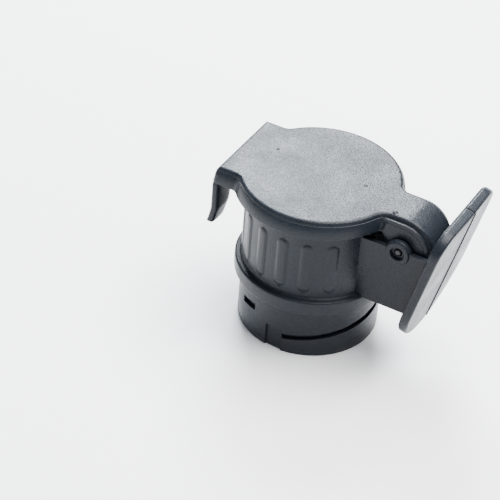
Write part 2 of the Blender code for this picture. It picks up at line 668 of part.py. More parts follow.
def lid():
    """Disc, latch tab with its fingers, and hinge hood."""
    obj = add_object("lid", lid_slab(), black_plastic())
    cavity_top = LID_TOP - LID_SKIN
    cavity = cylinder(LID_CAVITY_RADIUS, LID_BOTTOM - RUN_OUT, cavity_top)
    combine(obj, add_object("guide_lid_cavity", cavity), "DIFFERENCE")
    under_hood = box(
        (LID_CAVITY_RADIUS + LID_WALL, HOOD_WALL - HOOD_HALF_WIDTH, LID_BOTTOM - RUN_OUT),
        (PIN_X + RUN_OUT, HOOD_HALF_WIDTH - HOOD_WALL, PIN_Z + HOOD_RADIUS - HOOD_SKIN),
    )
    combine(obj, add_object("guide_under_hood", under_hood), "DIFFERENCE")
    combine(obj, hood_skin(), "UNION")
    combine(obj, hood_walls(), "UNION")
    combine(obj, spring_web(), "UNION")
    combine(obj, latch_fingers(), "UNION")
    bore = cylinder(PIN_HOLE_RADIUS, -CHEEK_OUTSIDE, CHEEK_OUTSIDE, 20, place=pin_frame())
    combine(obj, add_object("guide_lid_pin_bore", bore), "DIFFERENCE")
    return obj


def lid_seal():
    """A rubber ring in the lid that meets the barrel's rim, with a lip on each edge."""
    top = LID_TOP - LID_SKIN - GAP
    bottom = BARREL_TOP + GAP
    profile = [
        (SEAL_INSIDE, top),
        (SEAL_INSIDE, bottom + SEAL_LIP),
        (SEAL_INSIDE + SEAL_LIP, bottom),
        (SEAL_OUTSIDE - SEAL_LIP, bottom),
        (SEAL_OUTSIDE, bottom + SEAL_LIP),
        (SEAL_OUTSIDE, top),
    ]
    return add_object("lid_seal", turned(profile, INSERT_STEPS), rubber())


def hinge_pin():
    profile = [
        (0.0, -PIN_HALF_LENGTH),
        (PIN_RADIUS - PIN_CHAMFER, -PIN_HALF_LENGTH),
        (PIN_RADIUS, PIN_CHAMFER - PIN_HALF_LENGTH),
        (PIN_RADIUS, PIN_HALF_LENGTH - PIN_CHAMFER),
        (PIN_RADIUS - PIN_CHAMFER, PIN_HALF_LENGTH),
        (0.0, PIN_HALF_LENGTH),
    ]
    return add_object("hinge_pin", turned(profile, SMALL_STEPS, place=pin_frame()), steel())


def wire_curve(name, points, radius, made_of, bevel_resolution):
    """A round wire through the given points."""
    curve = bpy.data.curves.new(name, "CURVE")
    curve.dimensions = "3D"
    curve.bevel_depth = radius
    curve.bevel_resolution = bevel_resolution
    curve.use_fill_caps = True
    spline = curve.splines.new("POLY")
    spline.points.add(len(points) - 1)
    for point, place in zip(spline.points, points):
        point.co = (*place, 1.0)
    obj = bpy.data.objects.new(name, curve)
    obj.location = FROM_RIM
    bpy.context.scene.collection.objects.link(obj)
    curve.materials.append(made_of)
    return obj


def lid_spring():
    """A coil round the pin. One leg leans up on the barrel's rest, and the other pushes up the hood's web."""
    along, across = leg_frame(HOUSING_LEG_ANGLE)
    # Each leg leaves the coil on a tangent, a quarter turn from the leg's own direction.
    start = HOUSING_LEG_ANGLE + 90.0
    end = LID_LEG_ANGLE - 90.0
    sweep = (end - start) % 360.0 + 360.0 * (SPRING_TURNS - 1)
    count = round(SPRING_STEPS * sweep / 360.0)
    coil = []
    for i in range(count + 1):
        share = i / count
        x, z = hood_point(SPRING_RADIUS, start + sweep * share)
        coil.append(Vector((x, SPRING_HALF_LENGTH * (2 * share - 1), z)))
    wall = BARREL_RADIUS + SPRING_WIRE / 2 + GAP
    housing_end = coil[0] + along * ((wall - coil[0].x) / along.x)
    along, across = leg_frame(LID_LEG_ANGLE)
    lid_end = coil[-1] + along * LID_LEG_LENGTH
    return wire_curve("lid_spring", [housing_end, *coil, lid_end], SPRING_WIRE / 2, steel(), 1)


def contact_places():
    """Middles of the socket contacts: six round a circle, then the one in the centre."""
    outer = CONTACT_COUNT - 1
    places = [Vector((*arc((0.0, 0.0), CONTACT_CIRCLE, 360.0 * i / outer, 0.0, 1)[0], 0.0)) for i in range(outer)]
    return places + [Vector((0.0, 0.0, 0.0))]


def socket_insert(holes):
    """A flange that seats on the upper shoulder, with a block that holds the seven contacts."""
    profile = [
        (0.0, INSERT_FLANGE_BOTTOM),
        (INSERT_FLANGE_RADIUS, INSERT_FLANGE_BOTTOM),
        (INSERT_FLANGE_RADIUS, INSERT_FLANGE_TOP),
        (BLOCK_RADIUS, INSERT_FLANGE_TOP),
        (BLOCK_RADIUS, BLOCK_TOP - BLOCK_CHAMFER),
        (BLOCK_RADIUS - BLOCK_CHAMFER, BLOCK_TOP),
        (0.0, BLOCK_TOP),
    ]
    obj = add_object("socket_insert", turned(profile, INSERT_STEPS), insert_plastic())
    bm = cylinder(CENTRE_WELL_RADIUS, CENTRE_WELL_FLOOR, BLOCK_TOP + RUN_OUT, 24)
    low = (-BLOCK_RADIUS - RUN_OUT, -BLOCK_KEYWAY_WIDTH / 2, INSERT_FLANGE_TOP)
    high = (BLOCK_KEYWAY_DEPTH - BLOCK_RADIUS, BLOCK_KEYWAY_WIDTH / 2, BLOCK_TOP + RUN_OUT)
    box(low, high, bm=bm)
    combine(obj, add_object("guide_block_cuts", bm), "DIFFERENCE")
    hole = [
        (0.0, INSERT_FLANGE_BOTTOM - RUN_OUT),
        (TAIL_HOLE_RADIUS, INSERT_FLANGE_BOTTOM - RUN_OUT),
        (TAIL_HOLE_RADIUS, CONTACT_SEAT),
        (CONTACT_HOLE_RADIUS, CONTACT_SEAT),
        (CONTACT_HOLE_RADIUS, BLOCK_TOP + RUN_OUT),
        (0.0, BLOCK_TOP + RUN_OUT),
    ]
    bm = bmesh.new()
    for place in contact_places():
        turned(hole, SMALL_STEPS, bm, Matrix.Translation(place))
    combine(obj, add_object("guide_contact_holes", bm), "DIFFERENCE")
    combine(obj, holes, "DIFFERENCE")


def socket_contacts():
    """Six sleeves open at the top, and a male pin in the centre."""
    seat = CONTACT_SEAT + GAP
    tail = [
        (0.0, CONTACT_TAIL_END),
        (CONTACT_TAIL_RADIUS, CONTACT_TAIL_END),
        (CONTACT_TAIL_RADIUS, seat),
        (CONTACT_RADIUS, seat),
    ]
    top = BLOCK_TOP - CONTACT_BELOW_BLOCK
    floor = seat + SLEEVE_FLOOR
    sleeve = tail + [(CONTACT_RADIUS, top), (CONTACT_BORE, top), (CONTACT_BORE, floor), (0.0, floor)]
    tip = CENTRE_PIN_ROUNDING
    pin = tail + [
        (CONTACT_RADIUS, CENTRE_WELL_FLOOR),
        (CENTRE_PIN_RADIUS, CENTRE_WELL_FLOOR),
        (CENTRE_PIN_RADIUS, CENTRE_PIN_TOP - tip),
        (CENTRE_PIN_RADIUS - 0.35 * tip, CENTRE_PIN_TOP - 0.3 * tip),
        (CENTRE_PIN_RADIUS - tip, CENTRE_PIN_TOP),
        (0.0, CENTRE_PIN_TOP),
    ]
    for number, place in enumerate(contact_places(), start=1):
        profile = pin if number == CONTACT_COUNT else sleeve
        add_object(f"socket_contact_{number}", turned(profile, SMALL_STEPS, place=Matrix.Translation(place)), brass())


def socket_screws():
    for number, angle in enumerate(SCREW_ANGLES, start=1):
        low = INSERT_FLANGE_TOP - SCREW_LENGTH
        seat = INSERT_FLANGE_TOP + GAP
        profile = [
            (0.0, low),
            (SCREW_SHANK * 0.4, low),
            (SCREW_SHANK, low + SCREW_POINT),
            (SCREW_SHANK, seat),
            (SCREW_HEAD, seat),
            (SCREW_HEAD, seat + SCREW_HEAD_HEIGHT * 0.5),
            (SCREW_HEAD * 0.6, seat + SCREW_HEAD_HEIGHT),
            (0.0, seat + SCREW_HEAD_HEIGHT),
        ]
        place = about_z(angle) @ Matrix.Translation((SCREW_CIRCLE, 0.0, 0.0))
        add_object(f"socket_screw_{number}", turned(profile, SMALL_STEPS, place=place), steel())


def plug_place(radius, degrees):
    """A place on the plug insert, which rests half of its turn before the middle of its travel."""
    return Matrix.Translation((*arc((0.0, 0.0), radius, degrees - PLUG_TURN / 2, 0.0, 1)[0], 0.0))


def plug_insert():
    """The 13-pin insert: seven fitted places and six empty ones, turning between a shoulder and a ring."""
    profile = [
        (0.0, PLUG_NOSE),
        (PLUG_NOSE_RADIUS - RIM_CHAMFER, PLUG_NOSE),
        (PLUG_NOSE_RADIUS, PLUG_NOSE + RIM_CHAMFER),
        (PLUG_NOSE_RADIUS, PLUG_SEAT),
        (PLUG_INSERT_RADIUS, PLUG_SEAT),
        (PLUG_INSERT_RADIUS, PLUG_INSERT_TOP),
        (0.0, PLUG_INSERT_TOP),
    ]
    obj = add_object("plug_insert", turned(profile, INSERT_STEPS), insert_plastic())
    bm = bmesh.new()
    for step in PLUG_FITTED_STEPS:
        place = plug_place(PLUG_PIN_CIRCLE, PLUG_OUTER_PITCH * step)
        cylinder(PLUG_PIN_RADIUS + GAP, PLUG_NOSE - RUN_OUT, PLUG_INSERT_TOP + RUN_OUT, SMALL_STEPS, bm, place)
    empty = [(PLUG_PIN_CIRCLE, PLUG_OUTER_PITCH * step) for step in PLUG_EMPTY_STEPS]
    empty += [(PLUG_INNER_CIRCLE, 45.0 + 360.0 * i / PLUG_INNER_COUNT) for i in range(PLUG_INNER_COUNT)]
    for radius, degrees in empty:
        place = plug_place(radius, degrees)
        cylinder(EMPTY_HOLE_RADIUS, PLUG_NOSE - RUN_OUT, PLUG_NOSE + EMPTY_HOLE_DEPTH, SMALL_STEPS, bm, place)
    combine(obj, add_object("guide_plug_holes", bm), "DIFFERENCE")
    return obj


def plug_pins():
    tip = PLUG_PIN_ROUNDING
    profile = [
        (0.0, PLUG_PIN_TIP),
        (PLUG_PIN_RADIUS * 0.45, PLUG_PIN_TIP),
        (PLUG_PIN_RADIUS * 0.85, PLUG_PIN_TIP + tip * 0.4),
        (PLUG_PIN_RADIUS, PLUG_PIN_TIP + tip),
        (PLUG_PIN_RADIUS, PLUG_PIN_TAIL),
        (0.0, PLUG_PIN_TAIL),
    ]
    pins = []
    for number, step in enumerate(PLUG_FITTED_STEPS, start=1):
        place = plug_place(PLUG_PIN_CIRCLE, PLUG_OUTER_PITCH * step)
        pins.append(add_object(f"plug_pin_{number}", turned(profile, SMALL_STEPS, place=place), brass()))
    return pins


def retaining_ring():
    """A snap ring in the sleeve's groove, open at one side, that keeps the plug insert in."""
    outer = PLUG_BORE_RADIUS + RING_GROOVE_DEPTH - RING_PLAY
    inner = outer - RING_WIDTH
    half_mouth = RING_MOUTH / 2
    outline = arc((0.0, 0.0), outer, half_mouth, 360.0 - half_mouth, 36)
    outline += arc((0.0, 0.0), inner, 360.0 - half_mouth, half_mouth, 36)
    high = PLUG_SEAT - GAP
    return add_object("retaining_ring", prism(outline, high - RING_THICKNESS, high, about_z(90.0)), steel())


def jumper_wires():
    """One wire from each plug pin to its socket contact. They lean one way at rest and the other way when
    the insert has turned through its whole travel."""
    bottom = PLUG_PIN_TAIL + GAP
    top = CONTACT_TAIL_END - GAP
    places = contact_places()
    outer = 0
    for number, step in enumerate(PLUG_FITTED_STEPS, start=1):
        start = PLUG_OUTER_PITCH * step - PLUG_TURN / 2
        to_centre = number - 1 == CENTRE_WIRE_PIN
        if to_centre:
            end, end_radius = start, 0.0
        else:
            end = atan2(places[outer].y, places[outer].x) * 180.0 / pi
            end_radius = CONTACT_CIRCLE
            outer += 1
        sweep = (end - start + 180.0) % 360.0 - 180.0
        points = []
        lead = 1 / (WIRE_POINTS - 1)
        for i in range(WIRE_POINTS):
            # The first and last spans are upright, and the span between them is eased at both ends.
            share = min(max((i * lead - lead) / (1 - 2 * lead), 0.0), 1.0)
            eased = share * share * (3 - 2 * share)
            radius = PLUG_PIN_CIRCLE + (end_radius - PLUG_PIN_CIRCLE) * eased
            angle = radians(start + sweep * eased)
            climb = i * lead
            if to_centre and 0 < i < WIRE_POINTS - 1:
                climb = lead + (1 - 2 * lead) * share**3
            points.append((radius * cos(angle), radius * sin(angle), bottom + (top - bottom) * climb))
        wire_curve(f"jumper_wire_{number}", points, WIRE_RADIUS, wire_sheath(), 2)


def moving_parent(name, place, children):
    """An empty on a joint's axis that carries the pieces that move with it."""
    empty = bpy.data.objects.new(name, None)
    empty.location = place
    bpy.context.scene.collection.objects.link(empty)
    for child in children:
        child.parent = empty
        child.matrix_parent_inverse = Matrix.Translation(-place)
    return empty


def main():
    clear_scene()
    holes = screw_holes()
    housing(holes)
    moving_parent("lid_hinge_axis", HINGE + FROM_RIM, (lid(), lid_seal()))
    hinge_pin()
    lid_spring()
    socket_insert(holes)
    socket_contacts()
    socket_screws()
    moving_parent("plug_insert_axis", Vector((0.0, 0.0, 0.0)), (plug_insert(), *plug_pins()))
    retaining_ring()
    jumper_wires()


main()
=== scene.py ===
"""Looks for a trailer wiring adapter: moulded housing and lid surfaces, their finishes, and a pale stage.

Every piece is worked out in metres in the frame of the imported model. Heights start at the lower rim of the
plug sleeve, unless they are said to start elsewhere."""

from math import asin, atan2, cos, degrees, pi, radians, sin, sqrt, tan

import bmesh
import bpy
import numpy as np
from mathutils import Matrix, Vector


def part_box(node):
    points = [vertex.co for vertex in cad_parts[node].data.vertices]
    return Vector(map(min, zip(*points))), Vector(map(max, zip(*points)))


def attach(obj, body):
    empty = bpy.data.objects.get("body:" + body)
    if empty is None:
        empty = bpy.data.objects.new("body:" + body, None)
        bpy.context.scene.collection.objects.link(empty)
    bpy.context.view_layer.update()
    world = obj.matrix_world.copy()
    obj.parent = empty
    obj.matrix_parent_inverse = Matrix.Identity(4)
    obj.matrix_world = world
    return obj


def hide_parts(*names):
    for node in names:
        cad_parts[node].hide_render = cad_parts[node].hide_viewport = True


bl_info = {
    "name": "Trailer wiring adapter",
    "version": (1, 0, 0),
    "blender": (4, 5, 0),
    "location": "3D View > Sidebar > Adapter",
    "description": "Builds the surfaces and finishes of a trailer wiring adapter",
    "category": "Object",
}

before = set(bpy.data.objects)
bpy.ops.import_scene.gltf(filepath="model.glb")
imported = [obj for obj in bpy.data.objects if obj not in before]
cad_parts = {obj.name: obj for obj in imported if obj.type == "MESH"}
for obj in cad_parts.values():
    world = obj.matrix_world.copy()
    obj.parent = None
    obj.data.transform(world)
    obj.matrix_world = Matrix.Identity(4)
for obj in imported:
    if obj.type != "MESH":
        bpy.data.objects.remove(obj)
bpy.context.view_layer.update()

MM = 0.001
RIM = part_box("housing")[0].z  # lower rim of the plug sleeve
PIN = (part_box("hinge_pin")[0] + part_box("hinge_pin")[1]) / 2  # middle of the hinge pin

# Housing
SLEEVE_RADIUS = 21.2 * MM
LEDGE_RADIUS = 23.3 * MM
LEDGE_BOTTOM = 17.2 * MM
LEDGE_TOP = 21.8 * MM
BARREL_RADIUS = 21.1 * MM
BARREL_TOP = 45.7 * MM
INSIDE = [  # radius and height of the bores, from the top down
    (18.9 * MM, 45.7 * MM), (18.9 * MM, 27.2 * MM), (14.4 * MM, 27.2 * MM), (14.4 * MM, 18.3 * MM),
    (18.6 * MM, 18.3 * MM), (18.6 * MM, 13.0 * MM), (19.3 * MM, 13.0 * MM), (19.3 * MM, 11.4 * MM),
    (18.6 * MM, 11.4 * MM), (18.6 * MM, 0.0),
]
RIB_PITCH = 20.0  # degrees
RIB_FIRST = 50.0
RIB_WIDTH = 3.7 * MM
RIB_BOTTOM = 24.2 * MM
RIB_TOP = 41.2 * MM
TRACK_PITCH = 120.0  # degrees
TRACK_START = -84.0
TRACK_SWEEP = 92.0
TRACK_LOW = 4.9 * MM
TRACK_RISE = 5.1 * MM
TRACK_WIDTH = 1.8 * MM
TRACK_DEPTH = 1.3 * MM
TRACK_STEPS_AT = (57.0, 75.0)  # degrees from the track's start
TRACK_STEP = 0.25 * MM  # how much wider the slot gets at each
WINDOW_START = 75.0  # degrees, where the slots of the other two tracks begin
ENTRY_SWEEP = 14.5
ENTRY_TOP = 8.0 * MM
ENTRY_DEPTH = 0.6 * MM
KEY_WIDTH = 3.4 * MM
KEY_HEIGHT = 1.4 * MM
KEY_BOTTOM = 31.5 * MM
KEY_TOP = 43.5 * MM

# Hinge bracket
CHEEK_INSIDE = 7.9 * MM
CHEEK_OUTSIDE = 9.6 * MM
CHEEK_ROOT = 18.0 * MM
CHEEK_BOTTOM = 21.5 * MM
CHEEK_TOP = 42.7 * MM
BOSS_RADIUS = 3.6 * MM
BOSS_PROUD = 0.5 * MM
COUNTERBORE_RADIUS = 2.1 * MM
COUNTERBORE_DEPTH = 1.1 * MM
PIN_HOLE_RADIUS = 1.3 * MM
PLATE_TILT = radians(13.4)
PLATE_THICKNESS = 2.9 * MM
PLATE_HALF_WIDTH = 18.25 * MM
PLATE_LOW = 9.7 * MM
PLATE_HIGH = 34.4 * MM
PLATE_LOW_CORNER = 16.0 * MM
PLATE_HIGH_CORNER = 7.0 * MM
PLATE_REFERENCE = 24.0 * MM
LIP_BOTTOM = 27.2 * MM
LIP_PROUD = 0.25 * MM  # low enough to clear the opened lid
FOLD_AT = 1.4 * MM  # where the fold runs down the plate's outer face
FOLD_HEIGHT = 0.3 * MM
PLATE_FROM_PIN = 10.0 * MM
PLATE_CROWN = 0.35 * MM

# Lid
LID_RADIUS = 25.0 * MM
LID_BOTTOM = 46.2 * MM
LID_TOP = 51.5 * MM
LID_SKIN = 2.5 * MM
LID_CAVITY = 22.5 * MM
LID_BULKHEAD = 24.0 * MM
LID_ROUNDING = 1.2 * MM
LID_TAPER = 0.8 * MM  # how much narrower the sides are at the rounding than at the lower edge
LID_STEP = 0.25 * MM  # the small ledge all round below the rounding
TAB_REACH = 27.5 * MM
TAB_HALF_WIDTH = 15.6 * MM
TAB_CORNER = 1.6 * MM
TAB_FILLET = 2.4 * MM
HOOD_HALF_WIDTH = 7.5 * MM
HOOD_FILLET = 3.0 * MM
HOOD_SKIN = 2.3 * MM
HOOD_WALL = 2.3 * MM
HOOD_END = radians(-27.0)
HOOD_RADIUS = RIM + LID_TOP - PIN.z
LUG_RADIUS = 3.5 * MM
FINGER_THICKNESS = 2.4 * MM
FINGER_WIDE = 10.6 * MM  # width inside the tab
FINGER_NARROW = 7.0 * MM  # width at the foot
FINGER_KINK = 36.8 * MM
FINGER_BOTTOM = 31.5 * MM
FINGER_FLARE = 1.1 * MM
MARKS = (  # x, y, radius as a share of the gate mark's, and height; the third clears the plate
    (-16.2 * MM, 3.2 * MM, 1.0, 0.2 * MM),
    (13.5 * MM, 1.8 * MM, 1.0, 0.2 * MM),
    (26.2 * MM, -4.7 * MM, 1.5, 0.3 * MM),
)

# Spring
SPRING_RADIUS = 2.3 * MM
SPRING_HALF_LENGTH = 3.6 * MM
SPRING_WIRE_RADIUS = 0.45 * MM
SPRING_TURNS = 5
SPRING_BARREL_GAP = 0.3 * MM
SPRING_HOOD_LEG = 6.2 * MM

EYE = (0.19521, -0.42446, 0.37827)  # the camera's place


def linear(hex_colour):
    """An sRGB hex colour as linear red, green and blue: c / 12.92 up to 0.04045, else
    ((c + 0.055) / 1.055)^2.4."""
    values = np.array([int(hex_colour[i : i + 2], 16) for i in (1, 3, 5)]) / 255
    return tuple(np.where(values <= 0.04045, values / 12.92, ((values + 0.055) / 1.055) ** 2.4).tolist())


# ---------------------------------------------------------------- surfaces


def loft(name, rings, joined=False, crease=40.0):
    """A closed surface through rings of points. Point j of ring i meets point j + 1 round the ring and
    point j of ring i + 1. Rings that aren't joined end to end close on a pole in the middle of each end
    ring. The faces are turned over if the volume they enclose comes out negative."""
    rows, columns = rings.shape[:2]
    points = rings.reshape(-1, 3)
    i = np.arange(rows if joined else rows - 1)[:, None]
    j = np.arange(columns)[None, :]
    after, above = (j + 1) % columns, (i + 1) % rows
    quads = np.stack([i * columns + j, i * columns + after, above * columns + after, above * columns + j], -1)
    quads = quads.reshape(-1, 4)
    triangles = np.vstack([quads[:, [0, 1, 2]], quads[:, [0, 2, 3]]])
    caps = np.zeros((0, 3), int)
    if not joined:
        points = np.vstack([points, rings[0].mean(0), rings[-1].mean(0)])
        j = np.arange(columns)
        after = (j + 1) % columns
        last = (rows - 1) * columns
        pole = rows * columns
        low = np.stack([after, j, np.full(columns, pole)], -1)
        high = np.stack([last + j, last + after, np.full(columns, pole + 1)], -1)
        caps = np.vstack([low, high])
        triangles = np.vstack([triangles, caps])
    a, b, c = (points[triangles[:, k]] for k in range(3))
    outward = np.sum(a * np.cross(b, c)) > 0
    step = 1 if outward else -1
    mesh = bpy.data.meshes.new(name)
    mesh.from_pydata(points.tolist(), [], quads[:, ::step].tolist() + caps[:, ::step].tolist())
    bm = bmesh.new()
    bm.from_mesh(mesh)
    bmesh.ops.remove_doubles(bm, verts=bm.verts, dist=0.002 * MM)
    bm.to_mesh(mesh)
    bm.free()
    mesh.shade_smooth()
    mesh.set_sharp_from_angle(angle=radians(crease))
    piece = bpy.data.objects.new(name, mesh)
    bpy.context.scene.collection.objects.link(piece)
    return piece


def finish_piece(piece, made_of, body, slot, *nodes):
    """Gives a piece its material and its body, and hides the CAD nodes that it stands for. The slot is not
    used.
    """
    piece.data.materials.append(made_of)
    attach(piece, body)
    if nodes:
        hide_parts(*nodes)
    return piece


def eased(points, reach, steps=5):
    """A closed outline with a quadratic Bezier over each corner, from reach before it to reach after it."""
    points = np.asarray(points, float)
    back = np.roll(points, 1, 0) - points
    on = np.roll(points, -1, 0) - points
    back_length = np.linalg.norm(back, axis=1, keepdims=True)
    on_length = np.linalg.norm(on, axis=1, keepdims=True)
    reach = np.broadcast_to(np.asarray(reach, float).reshape(-1, 1), (len(points), 1))
    start = points + back / back_length * np.minimum(reach, 0.48 * back_length)
    end = points + on / on_length * np.minimum(reach, 0.48 * on_length)
    t = np.linspace(0, 1, steps)[None, :, None]
    curve = (1 - t) ** 2 * start[:, None] + 2 * t * (1 - t) * points[:, None] + t * t * end[:, None]
    return curve.reshape(-1, points.shape[1])


def arc(centre, radius, start, end, count):
    """Points at equal steps round a circle, from angle start to angle end in degrees."""
    angle = np.radians(np.linspace(start, end, count))
    return np.stack([centre[0] + radius * np.cos(angle), centre[1] + radius * np.sin(angle)], -1)


def resampled(outline, longest):
    """A closed outline with extra points, so that no side is longer than longest."""
    step = np.roll(outline, -1, 0) - outline
    length = np.linalg.norm(step, axis=1)
    count = np.maximum(1, np.ceil(length / longest)).astype(int)
    index = np.repeat(np.arange(len(outline)), count)
    share = (np.arange(len(index)) - np.repeat(np.cumsum(count) - count, count)) / count[index]
    return outline[index] + step[index] * share[:, None]


def block_rings(centre, size, bottom, top):
    """An upright block: the section |x|^8 + |y|^8 = 1 carried up Z, drawn in a little at both ends."""
    turn = np.linspace(0, 2 * pi, 64, endpoint=False)
    x = np.sign(np.cos(turn)) * np.abs(np.cos(turn)) ** 0.25 * size[0] / 2
    y = np.sign(np.sin(turn)) * np.abs(np.sin(turn)) ** 0.25 * size[1] / 2
    height = np.concatenate([bottom + np.array([0, 0.05, 0.2]) * MM, top - np.array([0.2, 0.05, 0]) * MM])
    inset = np.array([0.2, 0.06, 0, 0, 0.06, 0.2])[:, None] * MM
    around = np.hypot(x, y)
    share = 1 - inset / around
    return np.stack([centre[0] + x * share, centre[1] + y * share, RIM + height[:, None] + 0 * share], -1)


# ---------------------------------------------------------------- housing


def track_course(angle):
    """Lower and upper edge of the bayonet slot at each angle, and how deep slots and entries are cut. The
    lower edge climbs by TRACK_RISE x share of the sweep, the slot widens at two steps, and both edges ease
    back beyond its end. The first track is cut for its whole length, the others only from WINDOW_START
    on."""
    past_start = (angle - TRACK_START) % 360.0
    local = past_start % TRACK_PITCH
    entry = local > TRACK_PITCH - ENTRY_SWEEP
    slot = (local < TRACK_SWEEP) & ((past_start < TRACK_PITCH) | (local > WINDOW_START))
    share = np.clip(local / TRACK_SWEEP, 0, 1)
    back = np.clip((local - TRACK_SWEEP) / (TRACK_PITCH - ENTRY_SWEEP - TRACK_SWEEP), 0, 1)
    stay = 1 - back * back * (3 - 2 * back)
    wider = TRACK_STEP * sum((local > step).astype(float) for step in TRACK_STEPS_AT)
    low = TRACK_LOW + TRACK_RISE * share * stay
    high = low + TRACK_WIDTH + wider * stay
    return low, high, np.maximum(TRACK_DEPTH * slot, ENTRY_DEPTH * entry), ENTRY_DEPTH * entry


def rib_lift(angle, height, lift):
    """Height of the grip ribs: lift x (1 - d^4), where d runs from 0 on a rib's middle line to 1 at the
    edge of its round-ended outline."""
    turn = angle % 360.0
    nearest = RIB_FIRST + RIB_PITCH * np.round((turn - RIB_FIRST) / RIB_PITCH)
    half = RIB_WIDTH / 2
    across = np.radians(turn - nearest) * BARREL_RADIUS
    beyond = np.maximum(np.maximum(RIB_BOTTOM + half - height, height - RIB_TOP + half), 0)
    d = np.hypot(across, beyond) / half
    there = (nearest > RIB_FIRST - 1) & (nearest < 361 - RIB_FIRST)
    return lift * np.clip(1 - d**4, 0, 1) * there


def barrel_rings(lift):
    """Sleeve, ledge, barrel and bores as one closed profile carried round Z. In the sleeve the rows follow
    the bayonet slots, so that each slot's edges lie on rows, and on the barrel the radius rises over the
    ribs."""
    edges = np.array([-ENTRY_SWEEP, 0.0, *TRACK_STEPS_AT, TRACK_SWEEP])
    starts = TRACK_START + TRACK_PITCH * np.arange(3)
    pairs = (starts[:, None, None] + edges[:, None] + np.array([-0.2, 0.2])).ravel()
    angle = np.unique(np.round(np.concatenate([np.arange(0, 360, 0.75), pairs % 360]), 4))
    low, high, slot_cut, entry_cut = track_course(angle)
    wall = 0.12 * MM
    entry_high = high + ENTRY_TOP - TRACK_LOW - TRACK_WIDTH
    start = 0.5 * MM
    rows = [
        (0 * low, SLEEVE_RADIUS - 0.5 * MM - 0.7 * entry_cut),
        (0 * low + 0.12 * MM, SLEEVE_RADIUS - 0.15 * MM - entry_cut),
        (0 * low + start, SLEEVE_RADIUS - entry_cut),
        (start + (low - start) / 3, SLEEVE_RADIUS - entry_cut),
        (start + (low - start) * 2 / 3, SLEEVE_RADIUS - entry_cut),
        (low, SLEEVE_RADIUS - entry_cut),
        (low + wall, SLEEVE_RADIUS - slot_cut),
        ((low + high) / 2, SLEEVE_RADIUS - slot_cut),
        (high - wall, SLEEVE_RADIUS - slot_cut),
        (high, SLEEVE_RADIUS - entry_cut),
        (entry_high - wall, SLEEVE_RADIUS - entry_cut),
        (entry_high, SLEEVE_RADIUS + 0 * low),
    ]
    rest = LEDGE_BOTTOM - 0.4 * MM - entry_high
    rows += [(entry_high + rest * share, SLEEVE_RADIUS + 0 * low) for share in (0.3, 0.6, 1)]
    corners = [
        (SLEEVE_RADIUS, LEDGE_BOTTOM - 2 * MM), (SLEEVE_RADIUS, LEDGE_BOTTOM), (LEDGE_RADIUS, LEDGE_BOTTOM),
        (LEDGE_RADIUS, LEDGE_TOP), (BARREL_RADIUS, LEDGE_TOP + 0.4 * MM), (BARREL_RADIUS, LEDGE_TOP + 3 * MM),
    ]
    ledge = eased(corners, [0, 0.3 * MM, 0.6 * MM, 0.6 * MM, 0.9 * MM, 0])[5:-5]
    rows += [(height + 0 * low, radius + 0 * low) for radius, height in ledge]
    heights = np.concatenate([
        np.linspace(RIB_BOTTOM - 0.1 * MM, RIB_BOTTOM + 2.1 * MM, 11), np.linspace(28, 37, 5) * MM,
        np.linspace(RIB_TOP - 2.1 * MM, RIB_TOP + 0.1 * MM, 11), np.array([42.5, 44.0]) * MM,
    ])
    rows += [(h + 0 * low, BARREL_RADIUS + rib_lift(angle, h, lift)) for h in heights]
    top = eased([(BARREL_RADIUS, BARREL_TOP - 2 * MM), (BARREL_RADIUS, BARREL_TOP), INSIDE[0],
                 (INSIDE[0][0], BARREL_TOP - 2 * MM)], 0.5 * MM)[5:-5]
    bores = eased(INSIDE[1:-1], 0.25 * MM, 3)
    foot = [(INSIDE[-1][0], 0.3 * MM), (INSIDE[-1][0] + 0.1 * MM, 0.08 * MM), (INSIDE[-1][0] + 0.3 * MM, 0)]
    rows += [(height + 0 * low, radius + 0 * low) for radius, height in [*top, *bores, *foot]]
    height = np.stack([row[0] for row in rows])
    radius = np.stack([row[1] for row in rows])
    turn = np.radians(angle)
    return np.stack([radius * np.cos(turn), radius * np.sin(turn), height + RIM], -1)


def polar_radius(outline, middle, angle):
    """Distance from middle to an outline that goes once round it, at each angle."""
    offset = outline - middle
    around = np.arctan2(offset[:, 1], offset[:, 0])
    order = np.argsort(around)
    return np.interp(angle, around[order], np.hypot(*offset.T)[order], period=2 * pi)


def bored_plate(outline, side, inside, thickness, steps_profile, rounding):
    """A flat plate square to Y with a stepped hole at the pin. Each ring is the outline or a circle about
    the pin, at its own depth: edge inward by a quarter round, then the steps (radius, depth), then back
    inside."""
    outline = resampled(outline, 0.35 * MM)
    middle = np.array([PIN.x, PIN.z])
    around = np.sort(np.arctan2(*(outline - middle).T[::-1]))
    edge = polar_radius(outline, middle, around)
    quarter = np.linspace(0, pi / 2, 5)
    rings = [(edge - rounding * (1 - np.cos(q)), thickness - rounding * (1 - np.sin(q))) for q in quarter]
    first = steps_profile[0][0]
    rings += [(first + (rings[-1][0] - first) * s, thickness) for s in (0.6, 0.3)]
    rings += [(radius + 0 * edge, depth) for radius, depth in steps_profile]
    last = steps_profile[-1][0]
    rings += [(last + (edge - rounding - last) * s, 0.0) for s in (0.4, 0.8)]
    rings += [(edge - rounding * (1 - np.cos(q)), rounding * (1 - np.sin(q))) for q in quarter[::-1]]
    radius = np.stack([ring[0] for ring in rings])
    depth = np.array([ring[1] for ring in rings])[:, None]
    x = PIN.x + radius * np.cos(around)
    z = PIN.z + radius * np.sin(around)
    y = side * (inside + depth) + 0 * x
    return np.stack([x, y, z], -1)


